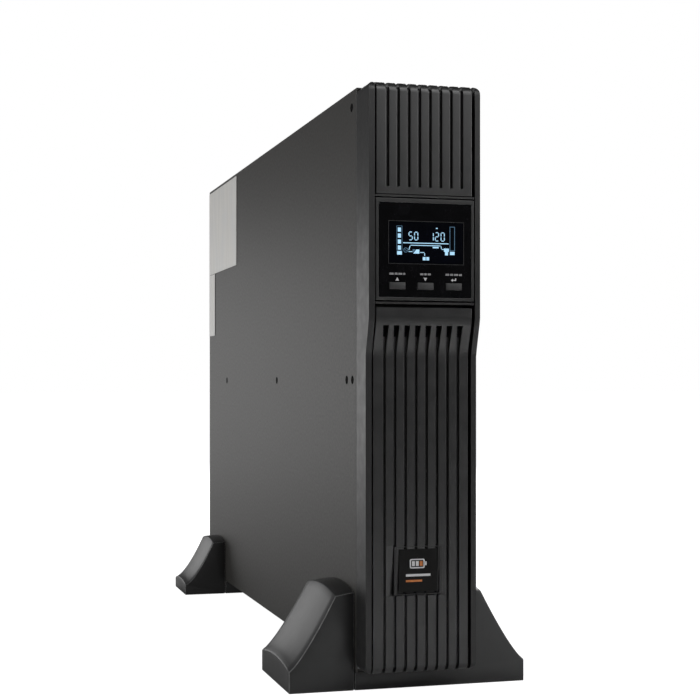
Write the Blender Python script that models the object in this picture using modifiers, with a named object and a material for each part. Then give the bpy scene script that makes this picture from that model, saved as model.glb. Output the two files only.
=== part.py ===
"""Rack or tower uninterruptible power supply, standing upright in two cradle stands.

Metres, +Z up, the grooved front facing -Y. The origin is on the floor, under the middle of the
unit's bounding box. Inside the functions a place is given in the unit's own coordinates, which
place() turns into world coordinates: x across from the middle, y behind the front face, and
z above the underside of the chassis.
"""

import math

import bmesh
import bpy
from mathutils import Matrix, Vector

MM = 0.001

# Driving dimensions
WIDTH = 86 * MM
HEIGHT = 438 * MM
DEPTH = 660 * MM
FOOT_LIFT = 14 * MM
FIT = 0.3 * MM

# Front bezel
BEZEL_DEPTH = 33 * MM
BEZEL_FOOT = 3 * MM
BEZEL_HEAD = 437 * MM
CORNER_RADIUS = 5 * MM
HEAD_RADIUS = 7 * MM
TOE_RADIUS = 6 * MM
SETBACK = 8.4 * MM
SLOPE_HIGH = 262 * MM
SLOPE_LOW = 239.5 * MM
WEB = (24 * MM, 27 * MM)
WEB_FOOT = 6.5 * MM
WEB_HEAD = 428 * MM
CROSSBAR = 1.8 * MM
RAIL_LEFT = -38.4 * MM
RAIL_RIGHT = 38.9 * MM
PANEL_LEFT = -37.4 * MM
PANEL_RIGHT = 36.5 * MM
PANEL_THICKNESS = 5.5 * MM

# Grooves of the two front panels
GROOVES = 8
GROOVE_PITCH = 8.17 * MM
GROOVE_WIDTH = 2.1 * MM
GROOVE_DEPTH = 3 * MM
GROOVE_SHIFT = -0.2 * MM
UPPER_PANEL_FOOT = 355 * MM
UPPER_GROOVE_FOOT = 360.4 * MM
DOOR_HEAD = 272 * MM
VENT_HEAD = 259 * MM

# Badge on the lower panel
PAD_X = (-21.8 * MM, 16.8 * MM)
PAD_Z = (60.2 * MM, 97 * MM)
BADGE_X = (-18 * MM, 12.9 * MM)
BADGE_Z = (62.4 * MM, 94.9 * MM)

# Display module
MODULE_X = (-37.9 * MM, 38.4 * MM)
MODULE_Z = (277.2 * MM, 352.2 * MM)
GLASS_X = (-35.4 * MM, 36.2 * MM)
GLASS_Z = (279.6 * MM, 348.8 * MM)
GLASS_FACE = 0.6 * MM
LCD_X = (-27.6 * MM, 30 * MM)
LCD_Z = (304.4 * MM, 335.2 * MM)
BUTTON_SIZE = (12.3 * MM, 5.2 * MM)
BUTTON_CENTRES = (-21.2 * MM, 0.4 * MM, 22.4 * MM)
BUTTON_HEIGHT = 287.9 * MM
BUTTON_PROUD = 0.7 * MM

# Sheet-metal case
SHEET = 1.2 * MM
CASE_BACK = 655.5 * MM
COVER_FLANGE = 12 * MM
CAGE_HEAD = 225.2 * MM
COVER_HOLE = 1.5 * MM
COVER_HOLE_ROW = 219.3 * MM
COVER_HOLES_BACK = (44 * MM, 60 * MM, 302 * MM, 548 * MM)
COVER_TOP_HOLE = (46 * MM, 425 * MM)

# Battery pack
PACK_X = 34 * MM
PACK_Z = (9.6 * MM, 216 * MM)
PACK_Y = (28 * MM, 430 * MM)
BAY_X = 35.5 * MM
BAY_Z = (8 * MM, 219.5 * MM)

# Transformer: a three-legged core, its legs' half width and windows measured from its middle
CORE_X = 22 * MM
CORE_Y = (456 * MM, 566 * MM)
CORE_Z = (11 * MM, 145 * MM)
CORE_YOKE = 18 * MM
CORE_LEG = 15 * MM
CORE_WINDOW = 41 * MM

# Rear panel
FAN_HEIGHT = 386 * MM
FAN_SIZE = 80 * MM
FAN_BORE = 37.7 * MM
OUTLET_COLUMNS = (-19.5 * MM, 19.5 * MM)
OUTLET_ROWS = (192 * MM, 160 * MM, 128 * MM)
OUTLET_SIZE = (32 * MM, 26 * MM)
INLET_HEIGHT = 52 * MM
INLET_FLANGE = (56 * MM, 33 * MM)
INLET_SHELL = (33.6 * MM, 27.6 * MM)
INLET_MOUTH = (30 * MM, 24 * MM)
BREAKER_PLACE = (-24 * MM, 228 * MM)
GROUND_PLACE = (26 * MM, 228 * MM)
PANEL_FACE = CASE_BACK - 0.5 * MM
PANEL_BACK = PANEL_FACE - SHEET
PORTS = {
    "usb_port": ((-26 * MM, 292 * MM), (13 * MM, 12 * MM), (8.6 * MM, 7.6 * MM)),
    "serial_port": ((7 * MM, 292 * MM), (32 * MM, 13 * MM), (18 * MM, 9 * MM)),
}
NETWORK_PORTS = ((-10 * MM, 264 * MM), (34 * MM, 16 * MM))
TERMINAL = ((24 * MM, 264 * MM), (18 * MM, 11 * MM))
SLOT_COVER = ((0, 324 * MM), (78 * MM, 30 * MM))
VENT_ROWS = 4
VENT_START = 84 * MM

# Cradle stands: the front pair of feet is taller and longer than the rear pair
FRONT_STAND = {
    "start": 38 * MM,
    "depth": 84 * MM,
    "toe_depth": 95 * MM,
    "reach": 50.3 * MM,
    "land": 14.5 * MM,
    "shoulder": 71.5 * MM,
    "rise": 2.4 * MM,
    "toe": 16.5 * MM,
    "sweep": 1.25,
    "crown": 4.5 * MM,
}
REAR_STAND = {
    "start": 557 * MM,
    "depth": 66 * MM,
    "toe_depth": 70 * MM,
    "reach": 44 * MM,
    "land": 13 * MM,
    "shoulder": 56 * MM,
    "rise": 0.8 * MM,
    "toe": 11 * MM,
    "sweep": 1.5,
    "crown": 3.5 * MM,
}
STAND_WALL = 2.2 * MM
STAND_EDGE = 0.8 * MM
STAND_SEAM_GAP = 0.4 * MM

FRONT_Y = -DEPTH / 2
HALF = WIDTH / 2


# Scene helpers

def clear_scene():
    for old in list(bpy.data.objects):
        bpy.data.objects.remove(old, do_unlink=True)


def new_collection(name):
    collection = bpy.data.collections.new(name)
    bpy.context.scene.collection.children.link(collection)
    return collection


def material(name, colour, roughness, metallic=0.0):
    made = bpy.data.materials.get(name)
    if made is None:
        made = bpy.data.materials.new(name)
        made.use_nodes = True
        shader = made.node_tree.nodes["Principled BSDF"]
        shader.inputs["Base Color"].default_value = (*colour, 1.0)
        shader.inputs["Roughness"].default_value = roughness
        shader.inputs["Metallic"].default_value = metallic
    return made


def place(x, y, z):
    """World coordinates of a point given in the unit's own coordinates."""
    return Vector((x, FRONT_Y + y, FOOT_LIFT + z))


def add_object(name, bm, finish, origin=None, cutter=False):
    """Links the shape in bm, given in world coordinates, as an object whose origin is at origin."""
    if origin is None:
        lows = [min(v.co[i] for v in bm.verts) for i in range(3)]
        highs = [max(v.co[i] for v in bm.verts) for i in range(3)]
        origin = (Vector(lows) + Vector(highs)) / 2
    bmesh.ops.translate(bm, vec=-Vector(origin), verts=bm.verts)
    bmesh.ops.recalc_face_normals(bm, faces=bm.faces)
    mesh = bpy.data.meshes.new(name)
    bm.to_mesh(mesh)
    bm.free()
    made = bpy.data.objects.new(name, mesh)
    made.location = origin
    if cutter:
        made.hide_render = True
        made.display_type = "WIRE"
        CUTTERS.objects.link(made)
    else:
        mesh.materials.append(finish)
        PARTS.objects.link(made)
    return made


def boxes(*ranges):
    """Boxes, each given as its x, y and z ranges in the unit's own coordinates."""
    bm = bmesh.new()
    for xs, ys, zs in ranges:
        low = place(xs[0], ys[0], zs[0])
        high = place(xs[1], ys[1], zs[1])
        cube = bmesh.ops.create_cube(bm, size=1.0)
        bmesh.ops.scale(bm, vec=high - low, verts=cube["verts"])
        bmesh.ops.translate(bm, vec=(low + high) / 2, verts=cube["verts"])
    return bm


def cylinder(radius, xs, ys, zs, axis="Y", segments=32, bm=None):
    """A cylinder from one centre to the other along axis; the other two ranges hold the centre twice."""
    start = place(xs[0], ys[0], zs[0])
    end = place(xs[1], ys[1], zs[1])
    turn = {
        "X": Matrix.Rotation(math.pi / 2, 4, "Y"),
        "Y": Matrix.Rotation(math.pi / 2, 4, "X"),
        "Z": Matrix.Identity(4),
    }[axis]
    bm = bm or bmesh.new()
    bmesh.ops.create_cone(
        bm, cap_ends=True, segments=segments, radius1=radius, radius2=radius,
        depth=(end - start).length, matrix=Matrix.Translation((start + end) / 2) @ turn,
    )
    return bm


def along(point, low, high):
    """The same centre at both ends of a cylinder that runs along Y from low to high."""
    return (point[0], point[0]), (low, high), (point[1], point[1])


def around(centre, size, margin=0.0):
    """The x and z ranges of a rectangle about its centre."""
    half_x = size[0] / 2 + margin
    half_z = size[1] / 2 + margin
    return (centre[0] - half_x, centre[0] + half_x), (centre[1] - half_z, centre[1] + half_z)


def prism(points, low, high, axis):
    """A flat outline drawn as a filled curve, extruded along X or Y from low to high.

    Along X the points are (y, z), along Y they are (x, z), in the unit's own coordinates.
    """
    curve = bpy.data.curves.new("outline", "CURVE")
    curve.dimensions = "2D"
    curve.fill_mode = "BOTH"
    curve.extrude = (high - low) / 2
    spline = curve.splines.new("POLY")
    spline.points.add(len(points) - 1)
    for point, (a, b) in zip(spline.points, points):
        point.co = (a, b, 0, 1)
    spline.use_cyclic_u = True
    drawn = bpy.data.objects.new("outline", curve)
    bpy.context.scene.collection.objects.link(drawn)
    evaluated = drawn.evaluated_get(bpy.context.evaluated_depsgraph_get())
    mesh = bpy.data.meshes.new_from_object(evaluated)
    bm = bmesh.new()
    bm.from_mesh(mesh)
    bpy.data.objects.remove(drawn, do_unlink=True)
    bpy.data.meshes.remove(mesh)
    bmesh.ops.remove_doubles(bm, verts=bm.verts, dist=0.00001)
    middle = (low + high) / 2
    if axis == "X":
        columns = ((0, 1, 0), (0, 0, 1), (1, 0, 0))
        shift = place(middle, 0, 0)
    else:
        columns = ((1, 0, 0), (0, 0, 1), (0, -1, 0))
        shift = place(0, middle, 0)
    turn = Matrix(columns).transposed().to_4x4()
    bmesh.ops.transform(bm, matrix=Matrix.Translation(shift) @ turn, verts=bm.verts)
    return bm


def boolean(target, operation, bm):
    """Cuts, joins or trims target with the shape in bm."""
    tool = add_object(f"{target.name}_{operation.lower()}_{len(target.modifiers)}", bm, None, cutter=True)
    modifier = target.modifiers.new(operation.lower(), "BOOLEAN")
    modifier.operation = operation
    modifier.solver = "EXACT"
    modifier.object = tool


def soften(target, width, segments=2, angle=50):
    modifier = target.modifiers.new("soft_edges", "BEVEL")
    modifier.width = width
    modifier.segments = segments
    modifier.limit_method = "ANGLE"
    modifier.angle_limit = math.radians(angle)


def arc(centre, radius, start, end, steps=5):
    """Points on an arc, its angles in degrees."""
    points = []
    for step in range(steps + 1):
        angle = math.radians(start + (end - start) * step / steps)
        points.append((centre[0] + radius * math.cos(angle), centre[1] + radius * math.sin(angle)))
    return points


# Finishes

def finishes():
    return {
        "bezel": material("bezel_plastic", (0.060, 0.060, 0.062), 0.5),
        "cover": material("cover_paint", (0.105, 0.102, 0.098), 0.45, 0.2),
        "zinc": material("zinc_steel", (0.55, 0.56, 0.56), 0.4, 0.9),
        "glass": material("display_glass", (0.006, 0.006, 0.007), 0.12),
        "lcd": material("lcd", (0.010, 0.016, 0.028), 0.2),
        "button": material("button_plastic", (0.085, 0.085, 0.088), 0.45),
        "badge": material("badge_plate", (0.015, 0.015, 0.016), 0.3),
        "label": material("blank_label", (0.60, 0.59, 0.57), 0.45, 0.1),
        "stand": material("stand_plastic", (0.052, 0.052, 0.054), 0.5),
        "pack": material("battery_case", (0.030, 0.032, 0.036), 0.5),
        "strap": material("strap_webbing", (0.02, 0.02, 0.02), 0.8),
        "board": material("circuit_board", (0.012, 0.080, 0.035), 0.4),
        "sink": material("heat_sink", (0.62, 0.63, 0.64), 0.35, 0.9),
        "core": material("transformer_core", (0.10, 0.10, 0.11), 0.55, 0.6),
        "winding": material("copper_winding", (0.55, 0.22, 0.08), 0.4, 0.7),
        "capacitor": material("capacitor_sleeve", (0.02, 0.03, 0.09), 0.35),
        "relay": material("relay_case", (0.03, 0.03, 0.035), 0.4),
        "socket": material("socket_plastic", (0.018, 0.018, 0.019), 0.4),
        "pin": material("plated_pin", (0.72, 0.68, 0.55), 0.25, 1.0),
        "fan": material("fan_plastic", (0.02, 0.02, 0.022), 0.4),
        "terminal": material("terminal_green", (0.03, 0.30, 0.10), 0.45),
    }


# Front bezel

def face_path(inset, bottom, top, back):
    """The front face seen from the side, as (y, z) from bottom to top, drawn inset behind its surface."""
    if bottom is None:
        foot = [(back, BEZEL_FOOT + inset)]
        foot += arc((SETBACK + TOE_RADIUS, BEZEL_FOOT + TOE_RADIUS), TOE_RADIUS - inset, 270, 180)
    else:
        foot = [(SETBACK + inset if bottom < SLOPE_LOW else inset, bottom)]
    middle = []
    if bottom is None or bottom < SLOPE_LOW:
        easing = 3 * MM
        slant = (SLOPE_HIGH - SLOPE_LOW) / SETBACK
        middle = [
            (SETBACK + inset, SLOPE_LOW - easing),
            (SETBACK + inset - 0.12 * SETBACK, SLOPE_LOW - easing + 0.12 * SETBACK * slant + easing / 2),
            (inset + 0.12 * SETBACK, SLOPE_HIGH + easing - 0.12 * SETBACK * slant - easing / 2),
            (inset, SLOPE_HIGH + easing),
        ]
    if top is None:
        head = arc((HEAD_RADIUS, BEZEL_HEAD - HEAD_RADIUS), HEAD_RADIUS - inset, 180, 90)
        head.append((back, BEZEL_HEAD - inset))
    else:
        head = [(inset, top)]
    return foot + middle + head


def rounded_rectangle(xs, zs, radius):
    points = []
    for corner_x, corner_z, start in (
        (xs[1] - radius, zs[0] + radius, 270), (xs[1] - radius, zs[1] - radius, 0),
        (xs[0] + radius, zs[1] - radius, 90), (xs[0] + radius, zs[0] + radius, 180),
    ):
        points += arc((corner_x, corner_z), radius, start, start + 90)
    return points


def bezel_rails(finish):
    """The two side rails, which carry the profile of the whole front face."""
    side = face_path(0, None, None, BEZEL_DEPTH)
    face = rounded_rectangle((-HALF, HALF), (BEZEL_FOOT, BEZEL_HEAD), CORNER_RADIUS)
    beside = 5 * MM
    for name, xs in (("left", (RAIL_LEFT, HALF + beside)), ("right", (-HALF - beside, RAIL_RIGHT))):
        rail = add_object(f"bezel_rail_{name}", prism(side, -HALF, HALF, "X"), finish)
        boolean(rail, "INTERSECT", prism(face, -beside, BEZEL_DEPTH + beside, "Y"))
        soften(rail, 1.1 * MM, 2)
        deep = (-beside, BEZEL_DEPTH + beside)
        boolean(rail, "DIFFERENCE", boxes((xs, deep, (-beside, HEIGHT + beside))))


def bezel_web(finish):
    """The plate between the rails, open for the battery, the display's cable and the air."""
    across = (RAIL_LEFT + FIT, RAIL_RIGHT - FIT)
    web = add_object("bezel_web", boxes((across, WEB, (WEB_FOOT, WEB_HEAD))), finish)
    deep = (WEB[0] - MM, WEB[1] + MM)
    boolean(web, "DIFFERENCE", boxes(
        ((-BAY_X, BAY_X), deep, BAY_Z),
        ((-12 * MM, 12 * MM), deep, (308 * MM, 320 * MM)),
        ((-32 * MM, 32 * MM), deep, (366 * MM, 422 * MM)),
    ))


def crossbars(finish):
    """The thin bars across the bezel above and below the display module."""
    across = (RAIL_LEFT + FIT, RAIL_RIGHT - FIT)
    for name, foot in (("lower", MODULE_Z[0] - 2.7 * MM), ("upper", MODULE_Z[1] + 0.7 * MM)):
        bar = boxes((across, (FIT, WEB[0] - FIT), (foot, foot + CROSSBAR)))
        soften(add_object(f"crossbar_{name}", bar, finish), 0.4 * MM, 2)


def groove_centres():
    return [(i - (GROOVES - 1) / 2) * GROOVE_PITCH + GROOVE_SHIFT for i in range(GROOVES)]


def groove_cutter(bottom, top):
    """Eight upright grooves, whose floors follow the face GROOVE_DEPTH behind it."""
    floor = face_path(GROOVE_DEPTH, bottom, top, 60 * MM)
    outside = -20 * MM
    close = [(outside, floor[-1][1]), (outside, floor[0][1])]
    if top is None:
        close = [(60 * MM, HEIGHT + 20 * MM), (outside, HEIGHT + 20 * MM), (outside, floor[0][1])]
    if bottom is None:
        close = [(outside, floor[-1][1]), (outside, -20 * MM), (60 * MM, -20 * MM)]
    joined = bmesh.new()
    for centre in groove_centres():
        groove = prism(floor + close, centre - GROOVE_WIDTH / 2, centre + GROOVE_WIDTH / 2, "X")
        mesh = bpy.data.meshes.new("groove")
        groove.to_mesh(mesh)
        groove.free()
        joined.from_mesh(mesh)
        bpy.data.meshes.remove(mesh)
    return joined


def panel_outline(bottom, top, back):
    outer = face_path(0, bottom, top, back)
    inner = face_path(PANEL_THICKNESS, bottom, top, back)
    return outer + inner[::-1]


def upper_panel(finish):
    """The grooved panel above the display, which turns over the top edge."""
    outline = panel_outline(UPPER_PANEL_FOOT, None, BEZEL_DEPTH - MM)
    panel = add_object("upper_panel", prism(outline, PANEL_LEFT, PANEL_RIGHT, "X"), finish)
    boolean(panel, "DIFFERENCE", groove_cutter(UPPER_GROOVE_FOOT, None))


def vent_cutter():
    """The tapered mouths at the heads of the lower grooves, cut into the slope."""
    joined = bmesh.new()
    for centre in groove_centres():
        mouth = prism(
            [
                (centre - GROOVE_WIDTH / 2, SLOPE_LOW), (centre + GROOVE_WIDTH / 2, SLOPE_LOW),
                (centre + 0.6 * GROOVE_WIDTH, VENT_HEAD), (centre - 1.35 * GROOVE_WIDTH, VENT_HEAD),
            ],
            -10 * MM, 10 * MM, "Y",
        )
        mesh = bpy.data.meshes.new("mouth")
        mouth.to_mesh(mesh)
        mouth.free()
        joined.from_mesh(mesh)
        bpy.data.meshes.remove(mesh)
    return joined


def battery_door(finish):
    """The grooved lower panel, which pulls off to reach the battery."""
    origin = place(0, SETBACK, (BEZEL_FOOT + DOOR_HEAD) / 2)
    outline = panel_outline(None, DOOR_HEAD, WEB[0] - 2 * MM)
    door = add_object("battery_door", prism(outline, PANEL_LEFT, PANEL_RIGHT, "X"), finish, origin)
    boolean(door, "DIFFERENCE", groove_cutter(None, VENT_HEAD))
    boolean(door, "DIFFERENCE", vent_cutter())
    boolean(door, "UNION", boxes((PAD_X, (SETBACK - FIT, SETBACK + 4.5 * MM), PAD_Z)))
    boolean(door, "DIFFERENCE", boxes((BADGE_X, (0, SETBACK + MM), BADGE_Z)))


def badge_plate(finish):
    gap = 0.4 * MM
    bm = boxes((
        (BADGE_X[0] + gap, BADGE_X[1] - gap),
        (SETBACK, SETBACK + MM - FIT),
        (BADGE_Z[0] + gap, BADGE_Z[1] - gap),
    ))
    add_object("badge_plate", bm, finish)


# Display module

def display_housing(finish):
    """An open-fronted box whose rim frames the glass."""
    back = 21 * MM
    wall = 2.4 * MM
    housing = add_object("display_housing", boxes((MODULE_X, (FIT, back), MODULE_Z)), finish)
    soften(housing, 0.6 * MM, 2)
    boolean(housing, "DIFFERENCE", boxes((GLASS_X, (-5 * MM, back - wall), GLASS_Z)))
    boolean(housing, "DIFFERENCE", boxes(((-10 * MM, 10 * MM), (10 * MM, back + MM), (309 * MM, 319 * MM))))


def display_glass(finish):
    """A black cover glass with a window for the LCD and a hole for each button."""
    xs = (GLASS_X[0] + FIT, GLASS_X[1] - FIT)
    zs = (GLASS_Z[0] + FIT, GLASS_Z[1] - FIT)
    glass = add_object("display_glass", boxes((xs, (GLASS_FACE, GLASS_FACE + 1.8 * MM), zs)), finish)
    holes = [(LCD_X, (-MM, 5 * MM), LCD_Z)]
    for centre in BUTTON_CENTRES:
        hole_x, hole_z = around((centre, BUTTON_HEIGHT), BUTTON_SIZE, 0.25 * MM)
        holes.append((hole_x, (-MM, 5 * MM), hole_z))
    boolean(glass, "DIFFERENCE", boxes(*holes))


def lcd_panel(finish):
    xs = (LCD_X[0] + FIT, LCD_X[1] - FIT)
    zs = (LCD_Z[0] + FIT, LCD_Z[1] - FIT)
    add_object("lcd_panel", boxes((xs, (GLASS_FACE + 0.2 * MM, 8 * MM - FIT), zs)), finish)


def display_board(finish):
    xs = (GLASS_X[0] + MM, GLASS_X[1] - MM)
    zs = (GLASS_Z[0] + MM, GLASS_Z[1] - MM)
    add_object("display_board", boxes((xs, (8 * MM, 9.6 * MM), zs)), finish)


def buttons(finish):
    for name, centre in zip(("button_up", "button_down", "button_enter"), BUTTON_CENTRES):
        xs, zs = around((centre, BUTTON_HEIGHT), BUTTON_SIZE)
        key = boxes((xs, (GLASS_FACE - BUTTON_PROUD, 6 * MM), zs))
        origin = place(centre, GLASS_FACE, BUTTON_HEIGHT)
        soften(add_object(name, key, finish, origin), 0.3 * MM, 2)


# Sheet-metal case

def chassis_tray(finish):
    """A channel folded from one sheet: the right wall with the top and bottom walls."""
    inset = SHEET + FIT
    outer = ((-HALF + inset, HALF), (BEZEL_DEPTH + FIT, CASE_BACK), (inset, HEIGHT - inset))
    tray = add_object("chassis_tray", boxes(outer), finish)
    soften(tray, 0.8 * MM, 2)
    inner = ((-HALF - 5 * MM, HALF - SHEET), (0, DEPTH + 5 * MM), (inset + SHEET, HEIGHT - inset - SHEET))
    boolean(tray, "DIFFERENCE", boxes(inner))


def side_cover(finish):
    """The painted cover: the left wall, with a flange folded over the top and bottom walls."""
    outer = ((-HALF, -HALF + COVER_FLANGE), (BEZEL_DEPTH + FIT, CASE_BACK), (0, HEIGHT))
    cover = add_object("side_cover", boxes(outer), finish)
    soften(cover, 0.8 * MM, 2)
    inner = ((-HALF + SHEET, HALF), (0, DEPTH + 5 * MM), (SHEET, HEIGHT - SHEET))
    boolean(cover, "DIFFERENCE", boxes(inner))
    holes = bmesh.new()
    for back in COVER_HOLES_BACK:
        cover_hole(back, COVER_HOLE_ROW, holes)
    cover_hole(*COVER_TOP_HOLE, holes)
    boolean(cover, "DIFFERENCE", holes)


def cover_hole(back, up, holes):
    """Adds one screw hole through the left wall."""
    cylinder(COVER_HOLE, (-HALF - 2 * MM, -HALF + 4 * MM), (back, back), (up, up), "X", 12, holes)


def front_bulkhead(finish):
    low = 2 * SHEET + 2 * FIT
    plate = add_object("front_bulkhead", boxes((
        (-HALF + SHEET + FIT, HALF - SHEET - FIT),
        (BEZEL_DEPTH + 1.5 * MM, BEZEL_DEPTH + 1.5 * MM + SHEET),
        (low, HEIGHT - low),
    )), finish)
    deep = (BEZEL_DEPTH, BEZEL_DEPTH + 5 * MM)
    openings = [((-BAY_X, BAY_X), deep, BAY_Z), ((-14 * MM, 14 * MM), deep, (305 * MM, 323 * MM))]
    for row in range(5):
        z = (370 + 11 * row) * MM
        openings.append(((-30 * MM, 30 * MM), deep, (z, z + 6 * MM)))
    boolean(plate, "DIFFERENCE", boxes(*openings))


def battery_cage(finish):
    """The shelves over and under the battery bay, folded from one sheet with the wall behind the pack."""
    start = BEZEL_DEPTH + 1.5 * MM + SHEET + FIT
    end = PACK_Y[1] + 12 * MM
    across = (-HALF + SHEET + 2 * FIT, HALF - SHEET - 2 * FIT)
    floor = PACK_Z[0] - FIT - SHEET
    cage = add_object("battery_cage", boxes((across, (start, end), (floor, CAGE_HEAD))), finish)
    boolean(cage, "DIFFERENCE", boxes((
        (-WIDTH, WIDTH), (0, end - SHEET), (floor + SHEET, CAGE_HEAD - SHEET),
    )))


def labels(finish):
    """Two blank self-adhesive plates on the cover's upper rear corner."""
    xs = (-HALF - 2 * FIT, -HALF - FIT)
    end = CASE_BACK - 2 * MM
    add_object("large_label", boxes((xs, (493 * MM, end), (341 * MM, HEIGHT - 3.2 * MM))), finish)
    add_object("small_label", boxes((xs, (619 * MM, end), (270.5 * MM, 340.5 * MM))), finish)


# Battery pack

def battery_pack(finish):
    origin = place(0, PACK_Y[0], sum(PACK_Z) / 2)
    pack = add_object("battery_pack", boxes(((-PACK_X, PACK_X), PACK_Y, PACK_Z)), finish, origin)
    soften(pack, 3 * MM, 2)
    boolean(pack, "DIFFERENCE", boxes(
        ((-24 * MM, 24 * MM), (PACK_Y[0] - MM, PACK_Y[0] + 2.5 * MM), (20 * MM, 84 * MM)),
    ))


def battery_strap(finish):
    """The flat pull strap across the pack's front, anchored at both ends."""
    width = 10 * MM
    bottom = 116 * MM
    top = 176 * MM
    face = PACK_Y[0] - FIT
    thick = 1.6 * MM
    rise = 5 * MM
    tab = 9 * MM
    ramp = 7 * MM
    under = [
        (face, bottom), (face, bottom + tab), (face - rise, bottom + tab + ramp),
        (face - rise, top - tab - ramp), (face, top - tab), (face, top),
    ]
    shift = 0.7 * MM
    over = [
        (face - thick, top), (face - thick, top - tab + shift),
        (face - rise - thick, top - tab - ramp + shift), (face - rise - thick, bottom + tab + ramp - shift),
        (face - thick, bottom + tab - shift), (face - thick, bottom),
    ]
    outline = under + over
    add_object("battery_strap", prism(outline, -width, width, "X"), finish)


def battery_connector(finish):
    """The pack's power plug, seated in the recess low on its front."""
    body = add_object("battery_connector", boxes(
        ((-17 * MM, 17 * MM), (PACK_Y[0] - 5 * MM, PACK_Y[0] + 2.5 * MM - FIT), (38 * MM, 66 * MM)),
    ), finish)
    soften(body, 1.5 * MM, 2)


# Electronics

def power_board(finish):
    """The large board beside the right wall, with the pillars that hold it off."""
    ys, zs = (70 * MM, 560 * MM), (236 * MM, 424 * MM)
    board = add_object("power_board", boxes(((33 * MM, 34.6 * MM), ys, zs)), finish)
    inset = 8 * MM
    pillars = bmesh.new()
    for y in (ys[0] + inset, sum(ys) / 2, ys[1] - inset):
        for z in (zs[0] + inset, zs[1] - inset):
            cylinder(3 * MM, (34 * MM, HALF - SHEET - FIT), (y, y), (z, z), "X", 12, pillars)
    boolean(board, "UNION", pillars)


def control_board(finish):
    """The small board ahead of the rear panel, with the pillars that hold it off."""
    xs, zs = (-38 * MM, 30 * MM), (228 * MM, 334 * MM)
    ys = (600 * MM, 601.6 * MM)
    board = add_object("control_board", boxes((xs, ys, zs)), finish)
    pillars = bmesh.new()
    for x in (xs[0] + 3.6 * MM, xs[1] - 4 * MM):
        for z in (zs[0] + 12 * MM, zs[1] - 4 * MM):
            cylinder(2.5 * MM, *along((x, z), ys[1] - MM, PANEL_BACK - FIT), segments=12, bm=pillars)
    boolean(board, "UNION", pillars)


def heat_sinks(finish):
    """Finned extrusions lying along the power board, fins across the air flow's sides."""
    base_x = 32.7 * MM
    for name, start in (("heat_sink_front", 120 * MM), ("heat_sink_rear", 330 * MM)):
        length = 110 * MM
        low, high = 344 * MM, 418 * MM
        outline = [(base_x, low), (base_x, high)]
        fins = 8
        pitch = (high - low) / (fins - 0.5)
        for fin in range(fins):
            top = high - fin * pitch
            outline += [(-12 * MM, top), (-12 * MM, top - pitch / 2)]
            if fin < fins - 1:
                outline += [(base_x - 8 * MM, top - pitch / 2), (base_x - 8 * MM, top - pitch)]
        outline[-1] = (-12 * MM, low)
        add_object(name, prism(outline, start, start + length, "Y"), finish)


def transformer(core_finish, coil_finish, bracket_finish):
    """A laminated core with two windows, the winding round its middle leg, and the clamp over it."""
    ys, zs = CORE_Y, CORE_Z
    core = add_object("transformer_core", boxes(((-CORE_X, CORE_X), ys, zs)), core_finish)
    middle = (ys[0] + ys[1]) / 2
    window_z = (zs[0] + CORE_YOKE, zs[1] - CORE_YOKE)
    boolean(core, "DIFFERENCE", boxes(
        ((-WIDTH, WIDTH), (middle - CORE_WINDOW, middle - CORE_LEG), window_z),
        ((-WIDTH, WIDTH), (middle + CORE_LEG, middle + CORE_WINDOW), window_z),
    ))
    gap = 0.6 * MM
    coil_y = (middle - CORE_WINDOW + 2 * MM, middle + CORE_WINDOW - 2 * MM)
    coil_z = (window_z[0] + gap, window_z[1] - gap)
    coil = add_object("transformer_coil", boxes(((-33 * MM, 33 * MM), coil_y, coil_z)), coil_finish)
    soften(coil, 6 * MM, 3, 80)
    boolean(coil, "DIFFERENCE", boxes((
        (-CORE_X - gap, CORE_X + gap), (middle - CORE_LEG - gap, middle + CORE_LEG + gap), (0, HEIGHT),
    )))
    sheet = 2 * MM
    grip = CORE_X + gap
    clamp = add_object("transformer_clamp", boxes((
        (-grip - sheet, grip + sheet), (ys[0] - 8 * MM, ys[1] + 8 * MM), (zs[0] - 8 * MM, zs[0] - FIT),
    )), bracket_finish)
    boolean(clamp, "UNION", boxes(
        ((-grip - sheet, -grip), (ys[0] + 4 * MM, ys[1] - 4 * MM), (zs[0] - 7 * MM, zs[0] + 12 * MM)),
        ((grip, grip + sheet), (ys[0] + 4 * MM, ys[1] - 4 * MM), (zs[0] - 7 * MM, zs[0] + 12 * MM)),
    ))


def capacitors(finish):
    """Two bus capacitors standing on the power board."""
    z = 262 * MM
    for index in range(2):
        y = (265 + 34 * index) * MM
        can = add_object(
            f"bus_capacitor_{index + 1}",
            cylinder(15 * MM, (-18 * MM, 32.7 * MM), (y, y), (z, z), "X", 24), finish,
        )
        soften(can, 1.2 * MM, 2)


def transfer_relay(finish):
    relay = add_object("transfer_relay", boxes(
        ((6 * MM, 32.7 * MM), (400 * MM, 428 * MM), (262 * MM, 278 * MM)),
    ), finish)
    soften(relay, 0.8 * MM, 2)


# Rear panel

def plug_face(centre, size, chamfer):
    """The six-cornered outline of an appliance coupler, its two upper corners cut off."""
    (left, right), (bottom, top) = around(centre, size)
    return [
        (left, bottom), (right, bottom), (right, top - chamfer),
        (right - chamfer, top), (left + chamfer, top), (left, top - chamfer),
    ]


def outlet_centres():
    return [(x, z) for z in OUTLET_ROWS for x in OUTLET_COLUMNS]


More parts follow.
